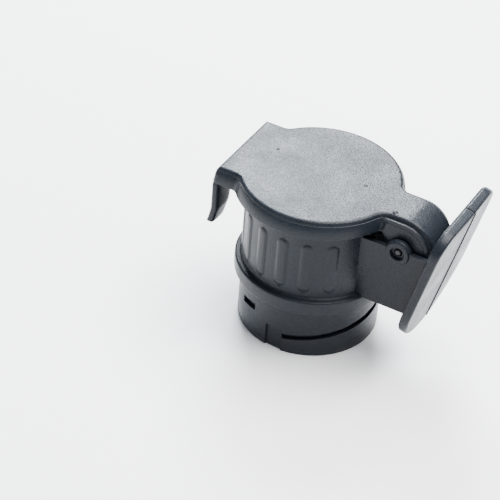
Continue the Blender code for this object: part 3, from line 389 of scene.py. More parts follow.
def plate_point(y, height, depth):
    """A point of the tilted plate: height up its inner face from the reference level, and depth outward."""
    out_x, out_z = cos(PLATE_TILT), -sin(PLATE_TILT)
    foot_x, foot_z = PIN.x + PLATE_FROM_PIN * out_x, PIN.z + PLATE_FROM_PIN * out_z
    shift = (RIM + PLATE_REFERENCE - foot_z) / cos(PLATE_TILT)
    up = height + shift
    x = foot_x + up * sin(PLATE_TILT) + depth * out_x
    z = foot_z + up * cos(PLATE_TILT) + depth * out_z
    return np.stack([x, y, z], -1)


def cheek_rings(side):
    """One cheek with its boss: the trapezoid between barrel and plate, joined with a circle round the
    pin."""
    ends = []
    middle = plate_point(np.zeros(1), np.zeros(1), np.full(1, PLATE_THICKNESS / 2))[0]
    for z in (RIM + CHEEK_BOTTOM, RIM + CHEEK_TOP):
        ends.append((middle[0] + (z - middle[2]) * tan(PLATE_TILT), z))
    corners = [(CHEEK_ROOT, RIM + CHEEK_BOTTOM), ends[0], ends[1], (CHEEK_ROOT, RIM + CHEEK_TOP)]
    trapezoid = resampled(eased(corners, 0.8 * MM), 0.3 * MM)
    centre = np.array([PIN.x, PIN.z])
    offset = trapezoid - centre
    reach = np.maximum(np.hypot(*offset.T), BOSS_RADIUS + 0.35 * MM)
    outline = centre + offset / np.hypot(*offset.T)[:, None] * reach[:, None]
    thickness = CHEEK_OUTSIDE - CHEEK_INSIDE
    top = thickness + BOSS_PROUD
    floor = top - COUNTERBORE_DEPTH
    steps = [
        (BOSS_RADIUS + 0.12 * MM, thickness), (BOSS_RADIUS, thickness + 0.12 * MM),
        (BOSS_RADIUS, top - 0.15 * MM), (BOSS_RADIUS - 0.15 * MM, top),
        (COUNTERBORE_RADIUS + 0.15 * MM, top), (COUNTERBORE_RADIUS, top - 0.15 * MM),
        (COUNTERBORE_RADIUS, floor), (PIN_HOLE_RADIUS, floor), (PIN_HOLE_RADIUS, 0.0),
    ]
    return bored_plate(outline, side, CHEEK_INSIDE, thickness, steps, 0.3 * MM)


def plate_outline():
    """The plate from in front as (y, height): large corners below, small ones above."""
    wide, low, high = PLATE_HALF_WIDTH, PLATE_LOW_CORNER, PLATE_HIGH_CORNER
    parts = [
        arc((wide - low, low - PLATE_LOW), low, -90, 0, 30),
        arc((wide - high, PLATE_HIGH - high), high, 0, 90, 18),
        arc((high - wide, PLATE_HIGH - high), high, 90, 180, 18),
        arc((low - wide, low - PLATE_LOW), low, 180, 270, 30),
    ]
    return resampled(np.vstack(parts), 1.2 * MM)


def rest_plate_rings():
    """The plate behind the hinge. Rings shrink towards its middle on both faces, a quarter round turns each
    edge, and the outer face rises to a low ridge along its middle line by PLATE_CROWN x (1 - |y| / half
    width)."""
    outline = plate_outline()
    middle = np.array([0.0, (PLATE_HIGH - PLATE_LOW) / 2])
    tangent = np.roll(outline, -1, 0) - np.roll(outline, 1, 0)
    normal = np.stack([tangent[:, 1], -tangent[:, 0]], -1)
    normal /= np.linalg.norm(normal, axis=1, keepdims=True)
    rounding = 0.7 * MM
    quarter = np.linspace(0, pi / 2, 6)
    rings = []
    edge = outline - normal * rounding
    for share in np.linspace(0.04, 0.96, 16):
        rings.append((middle + (edge - middle) * share, 0.0))
    rings += [(outline - normal * rounding * (1 - sin(q)), rounding * (1 - cos(q))) for q in quarter]
    for q in quarter:
        depth = PLATE_THICKNESS - rounding * (1 - sin(q))
        rings.append((outline - normal * rounding * (1 - cos(q)), depth))
    for share in np.linspace(0.96, 0.04, 16):
        rings.append((middle + (edge - middle) * share, PLATE_THICKNESS))
    flat = np.stack([ring[0] for ring in rings])
    depth = np.array([ring[1] for ring in rings])[:, None] + 0 * flat[..., 0]
    ridge = PLATE_CROWN * (1 - np.abs(flat[..., 0]) / PLATE_HALF_WIDTH) * (depth / PLATE_THICKNESS)
    return plate_point(flat[..., 0], flat[..., 1], depth + ridge)


def plate_fold_rings():
    """A low fold down the plate's outer face: a step on its near side that slopes away on the far side, as
    one four-sided section carried up the plate."""
    height = np.linspace(1.2 * MM - PLATE_LOW, PLATE_HIGH - 1.0 * MM, 60)[:, None]
    y = FOLD_AT + np.array([0.0, 0.05, 1.6, 1.6])[None, :] * MM + 0 * height
    lift = np.array([-0.3 * MM, FOLD_HEIGHT, 0.01 * MM, -0.3 * MM])
    crown = PLATE_CROWN * (1 - np.abs(y) / PLATE_HALF_WIDTH)
    return plate_point(y, height + 0 * y, PLATE_THICKNESS + crown + lift)


def plate_lip_rings():
    """The raised band along the plate's upper inner edge. Each ring is the band's outline, shrunk towards
    its middle on both faces, and the inner face's edge is a quarter round."""
    wide, corner = PLATE_HALF_WIDTH, PLATE_HIGH_CORNER
    rounding = 0.2 * MM

    def outline(inset):
        corners = [arc((wide - corner, PLATE_HIGH - corner), corner - inset, 0, 90, 18),
                   arc((corner - wide, PLATE_HIGH - corner), corner - inset, 90, 180, 18)]
        ends = [[(wide - inset, LIP_BOTTOM + inset)], *corners, [(inset - wide, LIP_BOTTOM + inset)]]
        return resampled(np.vstack(ends), 1.0 * MM)

    middle = np.array([0.0, (PLATE_HIGH + LIP_BOTTOM) / 2])
    start = outline(0.4 * MM)
    rings = [(middle + (start - middle) * share, 0.4 * MM) for share in (0.04, 0.5)]
    rings += [(start, 0.4 * MM), (start, 0.0), (start, rounding - LIP_PROUD)]
    for q in np.linspace(0, pi / 2, 5)[1:]:
        inset = 0.4 * MM + rounding * (1 - cos(q))
        shrunk = middle + (start - middle) * (1 - (inset - 0.4 * MM) / (6 * MM))
        rings.append((shrunk, -LIP_PROUD + rounding * (1 - sin(q))))
    last = rings[-1][0]
    rings += [(middle + (last - middle) * share, -LIP_PROUD) for share in (0.5, 0.04)]
    flat = np.stack([ring[0] for ring in rings])
    depth = np.array([ring[1] for ring in rings])[:, None] + 0 * flat[..., 0]
    return plate_point(flat[..., 0], flat[..., 1], depth)


# ---------------------------------------------------------------- lid


def mirrored(half):
    """An outline's upper half, then the same points with Y turned over, the other way round."""
    return np.vstack([half, half[::-1] * np.array([1.0, -1.0])])


def lid_outline(inset):
    """The lid laid out flat, moved inward by inset, as (x, y) with the hood unrolled beyond the pin:
    straight hood side, fillet, disc, fillet, tab side, tab corner, each half with the same number of
    points."""
    end = PIN.x + HOOD_RADIUS * (pi / 2 - HOOD_END) - inset
    disc, side, fillet = LID_RADIUS - inset, HOOD_HALF_WIDTH - inset, HOOD_FILLET + inset
    fillet_x = sqrt((disc + fillet) ** 2 - (side + fillet) ** 2)
    tangent = degrees(atan2(side + fillet, fillet_x))
    corner = max(1.0 * MM - inset, 0.1 * MM)
    end_edge = np.stack([np.full(5, end), np.linspace(0.3 * MM, side - corner, 5)], -1)
    end_corner = arc((end - corner, side - corner), corner, 0, 90, 5)[1:]
    run = np.stack([np.linspace(end - corner, fillet_x, 26)[1:], np.full(25, side)], -1)
    root = arc((fillet_x, side + fillet), fillet, 270, 180 + tangent, 9)[1:]
    tab_side, tab_fillet = TAB_HALF_WIDTH - inset, TAB_FILLET + inset
    tab_x = sqrt((disc + tab_fillet) ** 2 - (tab_side + tab_fillet) ** 2)
    tab_tangent = 180 - degrees(asin((tab_side + tab_fillet) / (disc + tab_fillet)))
    rim = arc((0, 0), disc, tangent, tab_tangent, 90)[1:]
    tab_root = arc((-tab_x, tab_side + tab_fillet), tab_fillet, tab_tangent + 180, 270, 8)[1:]
    corner = max(TAB_CORNER - inset, 0.15 * MM)
    tab_corner = arc((corner - TAB_REACH + inset, tab_side - corner), corner, 90, 180, 7)
    tab_end = np.stack([np.full(12, inset - TAB_REACH), np.linspace(tab_side - corner, 0.3 * MM, 13)[1:]], -1)
    return mirrored(np.vstack([end_edge, end_corner, run, root, rim, tab_root, tab_corner, tab_end]))


def rolled(flat, depth):
    """Places the flat lid: up to the pin it lies level, and beyond the pin it is wrapped round the pin's
    axis, so that x past the pin becomes the angle (x - pin) / radius, and depth runs towards the axis."""
    past = np.maximum(flat[..., 0] - PIN.x, 0) / HOOD_RADIUS
    level = np.minimum(flat[..., 0], PIN.x)
    radius = HOOD_RADIUS - depth
    return np.stack([level + radius * np.sin(past), flat[..., 1], PIN.z + radius * np.cos(past)], -1)


def lid_rings():
    """The lid as one skin. From the middle of its top the rings grow to the outline, turn over the edge in
    a quarter round, step out by a narrow ledge, slope out to the lower edge, and come back in under the
    hood, round the bulkhead, and up into the round cavity."""
    whole = lid_outline(0.0)
    hood = (whole[:, 0] > LID_BULKHEAD) & (np.abs(whole[:, 1]) < HOOD_HALF_WIDTH + 0.4 * MM)
    depth_out = np.where(hood, HOOD_SKIN + 0.3 * MM, LID_TOP - LID_BOTTOM)
    depth_in = np.where(hood, HOOD_SKIN, LID_TOP - LID_BOTTOM)
    rounded = lid_outline(LID_ROUNDING + LID_STEP + LID_TAPER)
    rings = [(rounded * share, 0 * depth_in) for share in np.linspace(0.02, 0.98, 44)]
    for q in np.linspace(0, pi / 2, 8):
        inset = LID_TAPER + LID_STEP + LID_ROUNDING * (1 - sin(q))
        rings.append((lid_outline(inset), LID_ROUNDING * (1 - cos(q)) + 0 * depth_in))
    for inset, below in ((0.05 * MM, 0.02 * MM), (0.0, 0.07 * MM)):
        rings.append((lid_outline(LID_TAPER + inset), LID_ROUNDING + below + 0 * depth_in))
    small = 0.3 * MM
    for q in np.linspace(0, pi / 2, 4):
        rings.append((lid_outline(small * (1 - cos(q))), depth_out - small * (1 - sin(q))))
    inner = lid_outline(HOOD_WALL)
    distance = np.hypot(*inner.T)
    rings += [(inner, depth_out), (inner, depth_in)]
    bulkhead = inner / distance[:, None] * np.minimum(distance, LID_BULKHEAD)[:, None]
    rings += [(inner + (bulkhead - inner) * share, depth_in) for share in np.linspace(0, 1, 22)[1:]]
    full = LID_TOP - LID_BOTTOM + 0 * depth_in
    cavity = inner / distance[:, None] * LID_CAVITY
    rings += [(bulkhead, full), (cavity, full), (cavity, LID_SKIN + 0 * depth_in)]
    rings += [(cavity * share, LID_SKIN + 0 * depth_in) for share in (0.97, 0.7, 0.4, 0.05)]
    return rolled(np.stack([ring[0] for ring in rings]), np.stack([ring[1] for ring in rings]))


def hood_wall_rings(side):
    """One side wall under the hood: level top run, arc under the hood's skin, and the lug round the pin."""
    reach = HOOD_RADIUS - HOOD_SKIN / 2
    under = arc((PIN.x, PIN.z), reach, 90, -20, 24)
    lug = arc((PIN.x, PIN.z), LUG_RADIUS, -60, -135, 12)
    start = LID_CAVITY + 1.0 * MM
    outline = np.vstack([[(start, RIM + LID_BOTTOM)], [(start, PIN.z + reach)], under, lug])
    thickness = HOOD_WALL - 0.04 * MM
    hole = PIN_HOLE_RADIUS
    steps = [(hole + 0.1 * MM, thickness), (hole, thickness - 0.1 * MM), (hole, 0.0)]
    return bored_plate(outline, side, HOOD_HALF_WIDTH - HOOD_WALL, thickness, steps, 0.15 * MM)


def finger_rings(side):
    """A latch finger: a rounded rectangle |x|^4 + |y|^4 = 1 carried down from the tab's corner. Its outer
    edge is flush with the tab's side, its inner edge slants in towards the foot, and it turns outward below
    the kink."""
    kink, bottom = FINGER_KINK, FINGER_BOTTOM
    height = np.concatenate([np.linspace(LID_TOP - 2.4 * MM, kink, 12), np.linspace(kink, bottom, 12)[1:]])
    top = LID_BOTTOM + 2 * MM
    drop = np.clip((top - height) / (top - bottom), 0, 1)
    width = FINGER_WIDE - (FINGER_WIDE - FINGER_NARROW) * drop
    thickness = FINGER_THICKNESS + 0 * drop
    ease = np.clip((LID_BOTTOM + 0.6 * MM - height) / (0.8 * MM), 0, 1)
    outside = TAB_HALF_WIDTH - 0.4 * MM * (1 - ease)
    lean = FINGER_FLARE * np.clip((kink - height) / (kink - bottom), 0, 1)
    x = -TAB_REACH + thickness / 2 - lean + 0.35 * MM * (1 - ease)
    y = outside - width / 2
    foot = np.array([(1.0, 0.0), (0.93, 0.25), (0.75, 0.45), (0.4, 0.6)])
    scale = np.concatenate([np.ones(len(height) - 1), foot[:, 0]])
    height = np.concatenate([height[:-1], bottom + 0.6 * MM - foot[:, 1] * MM])
    x, y, width, thickness = (np.concatenate([v, np.full(3, v[-1])]) for v in (x, y, width, thickness))
    turn = np.linspace(0, 2 * pi, 48, endpoint=False)
    power = 2 / 4
    a = np.sign(np.cos(turn)) * np.abs(np.cos(turn)) ** power
    b = np.sign(np.sin(turn)) * np.abs(np.sin(turn)) ** power
    across = x[:, None] + a * (thickness / 2 * scale)[:, None]
    along = y[:, None] + b * (width / 2 * scale)[:, None]
    return np.stack([across, side * along, RIM + height[:, None] + 0 * a], -1)


def dome_rings(x, y, z, radius, lift):
    """A low moulding mark: lift x (1 - share^2) over a round foot that is sunk a little into the
    surface."""
    share = np.linspace(1, 0.08, 8)
    height = np.concatenate([[-0.1 * MM], lift * (1 - share**2)])
    share = np.concatenate([[1.0], share])
    turn = np.linspace(0, 2 * pi, 24, endpoint=False)
    return np.stack([x + radius * share[:, None] * np.cos(turn), y + radius * share[:, None] * np.sin(turn),
                     z + height[:, None] + 0 * turn], -1)


# ---------------------------------------------------------------- spring


def spring_rings():
    """Torsion spring: a round wire carried along a tangent leg, a coil round the pin, and a second leg.
    Each ring lies square to the path, and the path's points are (r cos a, advance, r sin a) about the
    pin."""
    first_leg, second_leg = radians(-160.0), radians(-14.0)
    start, end = first_leg + pi / 2, second_leg - pi / 2
    sweep = (end - start) % (2 * pi) + 2 * pi * SPRING_TURNS
    share = np.linspace(0, 1, 200)
    turn = start + sweep * share
    along = SPRING_HALF_LENGTH * (2 * share - 1)
    coil = np.stack([PIN.x + SPRING_RADIUS * np.cos(turn), along, PIN.z + SPRING_RADIUS * np.sin(turn)], -1)
    out = np.array([cos(first_leg), 0, sin(first_leg)])
    length = (BARREL_RADIUS + SPRING_WIRE_RADIUS + SPRING_BARREL_GAP - coil[0, 0]) / out[0]
    legs = np.linspace(1, 0, 8)[:-1, None]
    last = np.array([cos(second_leg), 0, sin(second_leg)])
    beyond = 1 - np.append(legs[1:], 0)[:, None]
    path = np.vstack([coil[0] + out * length * legs, coil, coil[-1] + last * SPRING_HOOD_LEG * beyond])
    ahead = np.gradient(path, axis=0)
    ahead /= np.linalg.norm(ahead, axis=1, keepdims=True)
    side = np.cross(ahead, [0.0, 1.0, 0.0])
    side /= np.linalg.norm(side, axis=1, keepdims=True)
    other = np.cross(ahead, side)
    turn = np.linspace(0, 2 * pi, 14, endpoint=False)
    around = np.cos(turn)[:, None] * side[:, None] + np.sin(turn)[:, None] * other[:, None]
    return path[:, None] + SPRING_WIRE_RADIUS * around


# ---------------------------------------------------------------- finishes


def add_node(tree, kind, inputs=None, **settings):
    """Adds one node, sets its own settings, and sets or links its inputs."""
    node = tree.nodes.new(kind)
    for key, value in settings.items():
        setattr(node, key, value)
    for key, value in (inputs or {}).items():
        if isinstance(value, bpy.types.NodeSocket):
            tree.links.new(value, node.inputs[key])
        else:
            node.inputs[key].default_value = value
    return node


def blank_material(name, **constants):
    """A material with only a Principled shader, whose constants are set on its own sockets."""
    made = bpy.data.materials.new(name)
    made.use_nodes = True
    shader = made.node_tree.nodes["Principled BSDF"]
    for key, value in constants.items():
        shader.inputs[key.replace("_", " ")].default_value = value
    return made, made.node_tree, shader


def vary_colour(tree, shader, pattern, colour, low, high):
    """Base colour from low x colour to high x colour, by the pattern's value."""
    mix = add_node(tree, "ShaderNodeMix", {"Factor": pattern}, data_type="RGBA")
    mix.inputs["A"].default_value = (*[c * low for c in colour], 1)
    mix.inputs["B"].default_value = (*[min(1.0, c * high) for c in colour], 1)
    tree.links.new(mix.outputs["Result"], shader.inputs["Base Color"])
    return mix.outputs["Result"]


def vary_roughness(tree, shader, pattern, low, high, start=0.0, stop=1.0):
    """Roughness from low to high while the pattern's value goes from start to stop."""
    span = {"Value": pattern, "From Min": start, "From Max": stop, "To Min": low, "To Max": high}
    rough = add_node(tree, "ShaderNodeMapRange", span).outputs["Result"]
    tree.links.new(rough, shader.inputs["Roughness"])
    return rough


def press_relief(tree, shader, pattern, strength, distance):
    bump = add_node(tree, "ShaderNodeBump", {"Height": pattern, "Strength": strength, "Distance": distance})
    tree.links.new(bump.outputs["Normal"], shader.inputs["Normal"])


def noise(tree, place, size, **settings):
    """Value of a noise whose grains are about as large as size."""
    inputs = {"Vector": place, "Scale": 1 / size, **settings}
    return add_node(tree, "ShaderNodeTexNoise", inputs).outputs["Fac"]


def moulded_nylon(settings, name="spark_eroded_black_nylon", fold_groove_with_painted_shade=False):
    """Black polyamide, injection moulded in a spark-eroded mould: charcoal with a faint blue cast, a fine
    even grain that scatters highlights, and broad patches a little duller or shinier."""
    # The specular level was set by trial under this stage's lights. It is lower than the index alone gives.
    made, tree, shader = blank_material(name, IOR=1.53, Specular_IOR_Level=0.14)
    place = add_node(tree, "ShaderNodeTexCoord").outputs["Object"]
    # Real grain is about 0.1 mm, too fine to show, so it is drawn 0.5 mm coarse.
    grain = noise(tree, place, 0.5 * MM, Detail=1.0, Roughness=0.6)
    patches = noise(tree, place, 9 * MM, Detail=3.0)
    both = add_node(tree, "ShaderNodeMath", {0: grain, 1: patches}, operation="ADD").outputs[0]
    share = {"Value": both, "From Min": 0.6, "From Max": 1.4}
    half = add_node(tree, "ShaderNodeMapRange", share).outputs["Result"]
    body = settings.body_colour
    colour = vary_colour(tree, shader, half, body, 0.7, 1.35)
    spread = 0.12
    rough = vary_roughness(
        tree, shader, both, settings.roughness - spread, settings.roughness + spread, 0.6, 1.4
    )
    relief = grain
    if fold_groove_with_painted_shade:
        # A groove along the fold, 0.2 mm wide at full depth and 0.7 mm over all. Its relief and duller
        # roughness are real, and its base colour is darkened to a fifth as painted shade in the groove.
        y = add_node(tree, "ShaderNodeSeparateXYZ", {"Vector": place}).outputs["Y"]
        from_line = add_node(tree, "ShaderNodeMath", {0: y, 1: FOLD_AT}, operation="SUBTRACT").outputs[0]
        off = add_node(tree, "ShaderNodeMath", {0: from_line}, operation="ABSOLUTE").outputs[0]
        edge = {"Value": off, "From Min": 0.1 * MM, "From Max": 0.35 * MM, "To Min": 1.0, "To Max": 0.0}
        line = add_node(tree, "ShaderNodeMapRange", edge).outputs["Result"]
        # Painted shade: in the groove the base colour goes down to a fifth of the body colour.
        dark = add_node(tree, "ShaderNodeMix", {"Factor": line}, data_type="RGBA")
        dark.inputs["B"].default_value = (*[c * 0.2 for c in body], 1)
        tree.links.new(colour, dark.inputs["A"])
        tree.links.new(dark.outputs["Result"], shader.inputs["Base Color"])
        duller = add_node(tree, "ShaderNodeMath", {0: line, 1: 0.45, 2: rough}, operation="MULTIPLY_ADD")
        tree.links.new(duller.outputs[0], shader.inputs["Roughness"])
        groove = {0: line, 1: -14.0, 2: relief}
        relief = add_node(tree, "ShaderNodeMath", groove, operation="MULTIPLY_ADD").outputs[0]
    press_relief(tree, shader, relief, settings.grain_strength, 0.18 * MM)
    return made


def filled_nylon(settings):
    """Glass-filled polyamide of the contact inserts: satin dark grey, mottled by short pale fibres."""
    made, tree, shader = blank_material("glass_filled_nylon", IOR=1.54)
    place = add_node(tree, "ShaderNodeTexCoord").outputs["Object"]
    # Fibres are 0.01 mm thick; the mottling they give is drawn 0.5 mm coarse.
    fibre = noise(tree, place, 0.5 * MM, Detail=4.0, Distortion=1.5)
    vary_colour(tree, shader, fibre, settings.insert_colour, 0.8, 1.3)
    vary_roughness(tree, shader, fibre, 0.34, 0.52)
    press_relief(tree, shader, fibre, 0.25, 0.03 * MM)
    return made


def seal_rubber(settings):
    """EPDM rubber, compression moulded: dull near-black with a dusty bloom in soft patches."""
    made, tree, shader = blank_material("epdm_rubber", IOR=1.52)
    place = add_node(tree, "ShaderNodeTexCoord").outputs["Object"]
    bloom = noise(tree, place, 4 * MM, Detail=5.0)
    vary_colour(tree, shader, bloom, settings.rubber_colour, 1.0, 1.9)
    vary_roughness(tree, shader, bloom, 0.62, 0.85)
    return made


def turned_metal(name, colour, roughness, pitch):
    """Bar-turned metal: fine tool rings along the length, pitch apart, and a little tarnish in patches."""
    made, tree, shader = blank_material(name, Metallic=1.0)
    place = add_node(tree, "ShaderNodeTexCoord").outputs["Object"]
    wave = {"Vector": place, "Scale": 1 / pitch / 20, "Distortion": 1.2, "Detail": 2.0}
    rings = add_node(tree, "ShaderNodeTexWave", wave, bands_direction="Z").outputs["Fac"]
    tarnish = noise(tree, place, 1.5 * MM, Detail=4.0)
    vary_colour(tree, shader, tarnish, colour, 0.78, 1.12)
    vary_roughness(tree, shader, tarnish, roughness - 0.08, roughness + 0.12)
    press_relief(tree, shader, rings, 0.15, 0.01 * MM)
    return made


def wire_pvc(name, colour):
    """Extruded PVC sheath: an even, slightly waxy skin with faint streaks along the wire."""
    made, tree, shader = blank_material(name, IOR=1.53)
    place = add_node(tree, "ShaderNodeTexCoord").outputs["Object"]
    squeeze = add_node(tree, "ShaderNodeMapping", {"Vector": place, "Scale": (1.0, 1.0, 0.15)})
    streak = noise(tree, squeeze.outputs["Vector"], 0.3 * MM, Detail=2.0)
    vary_colour(tree, shader, streak, colour, 0.85, 1.15)
    vary_roughness(tree, shader, streak, 0.35, 0.5)
    return made


def recoat(nodes, made):
    """Gives the shown CAD nodes a detailed material in place of their plain one."""
    for name in nodes:
        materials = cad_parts[name].data.materials
        materials.clear()
        materials.append(made)


# ---------------------------------------------------------------- add-on


def colour_property(name, description, default):
    return bpy.props.FloatVectorProperty(
        name=name, description=description, default=linear(default), subtype="COLOR", size=3, min=0.0, max=1.0
    )


def number_property(name, description, default, low, high, **settings):
    return bpy.props.FloatProperty(
        name=name, description=description, default=default, min=low, max=high, **settings
    )


class AdapterFinish(bpy.types.PropertyGroup):
    """Colours and grain of the adapter."""

    body_colour: colour_property("Body", "Moulded nylon of the housing and lid", "#171B21")
    insert_colour: colour_property("Inserts", "Glass-filled nylon of the contact inserts", "#3A3C40")
    rubber_colour: colour_property("Seal", "Rubber ring in the lid", "#1B1B1C")
    brass_colour: colour_property("Contacts", "Brass of the pins and sleeves", "#C9AE73")
    steel_colour: colour_property("Steel", "Zinc plate on the spring, screws and ring", "#C2C5C9")
    pin_colour: colour_property("Hinge pin", "Oiled drawn steel of the hinge pin", "#38393B")
    sheath_colour: colour_property("Wire sheath", "PVC of the jumper wires", "#5A5A5E")
    roughness: number_property("Roughness", "Mean roughness of the nylon", 0.37, 0.12, 0.88)
    grain_strength: number_property("Grain", "Strength of the mould's grain", 0.5, 0.0, 1.0)


class AdapterShape(bpy.types.PropertyGroup):
    """Sizes that a user may change without moving the joints."""

    rib_lift: number_property(
        "Rib height", "How far the grip ribs stand out", 0.38 * MM, 0.1 * MM, 1.5 * MM, unit="LENGTH",
        precision=5,
    )
    gate_radius: number_property(
        "Gate mark", "Radius of the moulding marks on the lid", 0.55 * MM, 0.2 * MM, 2 * MM, unit="LENGTH",
        precision=5,
    )


class AdapterStage(bpy.types.PropertyGroup):
    """Camera and lights."""

    heading: number_property("Heading", "Camera's turn about Z", radians(27.0), -pi, pi, subtype="ANGLE")
    pitch: number_property("Pitch", "Camera's downward tilt", radians(38.23), 0.0, pi / 2, subtype="ANGLE")
    roll: number_property("Roll", "Camera's turn about its own axis", radians(4.57), -pi, pi, subtype="ANGLE")
    lens: number_property("Lens", "Focal length in millimetres", 144.0, 20.0, 300.0)
    back_light: number_property("Back light", "Power of the rear softbox", 30.0, 0.0, 1000.0, subtype="POWER")
    top_light: number_property("Top light", "Power of the upper softbox", 50.0, 0.0, 1000.0, subtype="POWER")
    surround: number_property("Surround", "Brightness of the pale surround", 0.55, 0.0, 10.0)


class ADAPTER_OT_housing(bpy.types.Operator):
    """Sleeve with bayonet slots, ledge and ribbed barrel"""

    bl_idname = "adapter.housing"
    bl_label = "Housing shell"

    def execute(self, context):
        scene = context.scene
        nylon = moulded_nylon(scene.adapter_finish)
        shell = loft("housing_shell", barrel_rings(scene.adapter_shape.rib_lift), joined=True, crease=60.0)
        finish_piece(shell, nylon, "housing", "moulded_plastic", "housing")
        bore = INSIDE[0][0]
        centre, size = (KEY_HEIGHT / 2 - bore, 0.0), (KEY_HEIGHT + 0.4 * MM, KEY_WIDTH)
        rings = block_rings(centre, size, KEY_BOTTOM, KEY_TOP)
        finish_piece(loft("bore_key", rings), nylon, "housing", "moulded_plastic")
        return {"FINISHED"}


class ADAPTER_OT_bracket(bpy.types.Operator):
    """Two cheeks with bosses, and the tilted plate behind the hinge"""

    bl_idname = "adapter.bracket"
    bl_label = "Hinge bracket"

    def execute(self, context):
        nylon = bpy.data.materials["spark_eroded_black_nylon"]
        finish = context.scene.adapter_finish
        # The plate's nylon, with painted shade darkening the groove along the fold.
        nylon_with_painted_groove_shade = moulded_nylon(finish, "spark_eroded_black_nylon_groove_painted_shade", fold_groove_with_painted_shade=True)
        for name, side in (("near", -1), ("far", 1)):
            cheek = loft(f"hinge_cheek_{name}", cheek_rings(side), joined=True)
            finish_piece(cheek, nylon, "housing", "moulded_plastic")
        finish_piece(loft("rest_plate", rest_plate_rings()), nylon_with_painted_groove_shade, "housing", "moulded_plastic")
        finish_piece(loft("rest_plate_lip", plate_lip_rings()), nylon, "housing", "moulded_plastic")
        fold = loft("rest_plate_fold", plate_fold_rings(), crease=20.0)
        finish_piece(fold, nylon, "housing", "moulded_plastic")
        return {"FINISHED"}


class ADAPTER_OT_lid(bpy.types.Operator):
    """Lid skin with its tab and hood, hood walls, latch fingers and moulding marks"""

    bl_idname = "adapter.lid"
    bl_label = "Lid"

    def execute(self, context):
        nylon = bpy.data.materials["spark_eroded_black_nylon"]
        finish_piece(loft("lid_skin", lid_rings(), crease=50.0), nylon, "lid", "moulded_plastic", "lid")
        for name, side in (("near", -1), ("far", 1)):
            wall = loft(f"hood_wall_{name}", hood_wall_rings(side), joined=True)
            finish_piece(wall, nylon, "lid", "moulded_plastic")
            finish_piece(loft(f"latch_finger_{name}", finger_rings(side)), nylon, "lid", "moulded_plastic")
        radius = context.scene.adapter_shape.gate_radius
        for number, (x, y, share, lift) in enumerate(MARKS, start=1):
            rings = dome_rings(x, y, RIM + LID_TOP, radius * share, lift)
            finish_piece(loft(f"gate_mark_{number}", rings), nylon, "lid", "moulded_plastic")
        return {"FINISHED"}


class ADAPTER_OT_hardware(bpy.types.Operator):
    """Spring wire, and finishes for the pin, contacts, inserts, seal and wires"""

    bl_idname = "adapter.hardware"
    bl_label = "Spring and contacts"

    def execute(self, context):
        finish = context.scene.adapter_finish
        # Zinc plate on drawn steel wire: pale grey with faint draw lines 0.1 mm apart.
        zinc = turned_metal("zinc_plated_steel", finish.steel_colour, 0.32, 0.1 * MM)
        # Free-cutting brass, turned at 0.15 mm a turn: warm yellow, lightly dulled.
        brass = turned_metal("turned_brass", finish.brass_colour, 0.28, 0.15 * MM)
        finish_piece(loft("spring_wire", spring_rings()), zinc, "housing", "plated_steel", "lid_spring")
        # Drawn steel, dull, with its colour made dark as painted shade for the pin down in its bore; the tone
        # was chosen.
        pin_steel_with_painted_shade = turned_metal("drawn_steel_painted_bore_shade", finish.pin_colour, 0.5, 0.1 * MM)
        recoat(["hinge_pin"], pin_steel_with_painted_shade)
        recoat(["retaining_ring", "socket_screw_1", "socket_screw_2"], zinc)
        contacts = [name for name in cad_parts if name.startswith(("socket_contact_", "plug_pin_"))]
        recoat(contacts, brass)
        recoat(["socket_insert", "plug_insert"], filled_nylon(finish))
        recoat(["lid_seal"], seal_rubber(finish))
        wires = [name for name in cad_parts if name.startswith("jumper_wire_")]
        recoat(wires, wire_pvc("extruded_pvc", finish.sheath_colour))
        return {"FINISHED"}


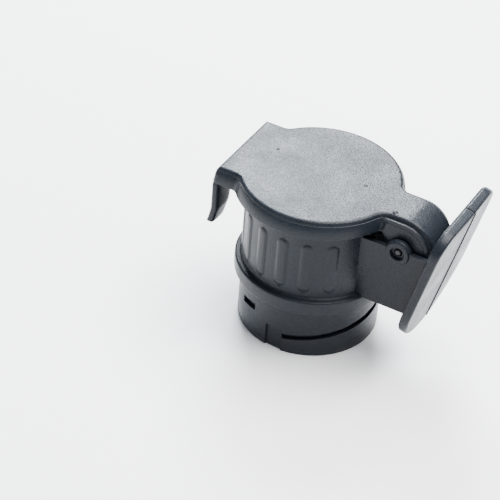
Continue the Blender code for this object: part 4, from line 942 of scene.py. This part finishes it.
class ADAPTER_OT_stage(bpy.types.Operator):
    """Pale floor, softboxes and the camera"""

    bl_idname = "adapter.stage"
    bl_label = "Stage"

    def execute(self, context):
        scene = context.scene
        stage = scene.adapter_stage
        # Matt white card.
        card, _, shader = blank_material("white_card", Roughness=0.9)
        shader.inputs["Base Color"].default_value = (*linear("#F7F7F8"), 1)
        shader.inputs["Specular IOR Level"].default_value = 0.1
        mesh = bpy.data.meshes.new("floor")
        corners = np.array([(-3, -3), (3, -3), (3, 3), (-3, 3)], float)
        mesh.from_pydata([(x, y, RIM) for x, y in corners], [], [(0, 1, 2, 3)])
        floor = bpy.data.objects.new("floor", mesh)
        mesh.materials.append(card)
        scene.collection.objects.link(floor)
        world = bpy.data.worlds.new("white_surround")
        world.use_nodes = True
        background = world.node_tree.nodes["Background"]
        background.inputs["Color"].default_value = (0.84, 0.92, 1.0, 1)
        background.inputs["Strength"].default_value = stage.surround
        scene.world = world
        turn = Matrix.Rotation(stage.heading, 3, "Z")
        for name, place, size, power, tint in (
            ("back_softbox", (-0.05, 0.75, 0.62), 0.4, stage.back_light, (0.88, 0.94, 1.0)),
            ("top_softbox", (0.3, 0.1, 1.0), 0.9, stage.top_light, (1.0, 0.99, 0.97)),
        ):
            light = bpy.data.lights.new(name, "AREA")
            light.size = size
            light.energy = power
            light.color = tint
            lamp = bpy.data.objects.new(name, light)
            lamp.location = turn @ Vector(place)
            lamp.rotation_euler = lamp.location.to_track_quat("Z", "Y").to_euler()
            scene.collection.objects.link(lamp)
        camera = bpy.data.cameras.new("camera")
        camera.sensor_width = 36.0
        camera.lens = stage.lens
        camera.clip_start = 0.01
        eye = bpy.data.objects.new("camera", camera)
        spin = Matrix.Rotation(stage.heading, 4, "Z") @ Matrix.Rotation(pi / 2 - stage.pitch, 4, "X")
        eye.matrix_world = Matrix.Translation(EYE) @ spin @ Matrix.Rotation(stage.roll, 4, "Z")
        scene.collection.objects.link(eye)
        scene.camera = eye
        return {"FINISHED"}


class ADAPTER_PT_sidebar(bpy.types.Panel):
    bl_idname = "ADAPTER_PT_sidebar"
    bl_label = "Trailer wiring adapter"
    bl_space_type = "VIEW_3D"
    bl_region_type = "UI"
    bl_category = "Adapter"

    def draw(self, context):
        for group in (context.scene.adapter_shape, context.scene.adapter_finish, context.scene.adapter_stage):
            for name in group.bl_rna.properties.keys():
                if name not in ("rna_type", "name"):
                    self.layout.prop(group, name)
        for operator in OPERATORS:
            self.layout.operator(operator.bl_idname)


GROUPS = {"adapter_finish": AdapterFinish, "adapter_shape": AdapterShape, "adapter_stage": AdapterStage}
OPERATORS = (ADAPTER_OT_housing, ADAPTER_OT_bracket, ADAPTER_OT_lid, ADAPTER_OT_hardware, ADAPTER_OT_stage)


def register():
    for group in (*GROUPS.values(), *OPERATORS, ADAPTER_PT_sidebar):
        bpy.utils.register_class(group)
    for name, group in GROUPS.items():
        setattr(bpy.types.Scene, name, bpy.props.PointerProperty(type=group))


def unregister():
    for name in GROUPS:
        delattr(bpy.types.Scene, name)
    for group in (ADAPTER_PT_sidebar, *OPERATORS, *GROUPS.values()):
        bpy.utils.unregister_class(group)


def main():
    register()
    bpy.ops.adapter.housing()
    bpy.ops.adapter.bracket()
    bpy.ops.adapter.lid()
    bpy.ops.adapter.hardware()
    bpy.ops.adapter.stage()


if __name__ == "__main__":
    main()
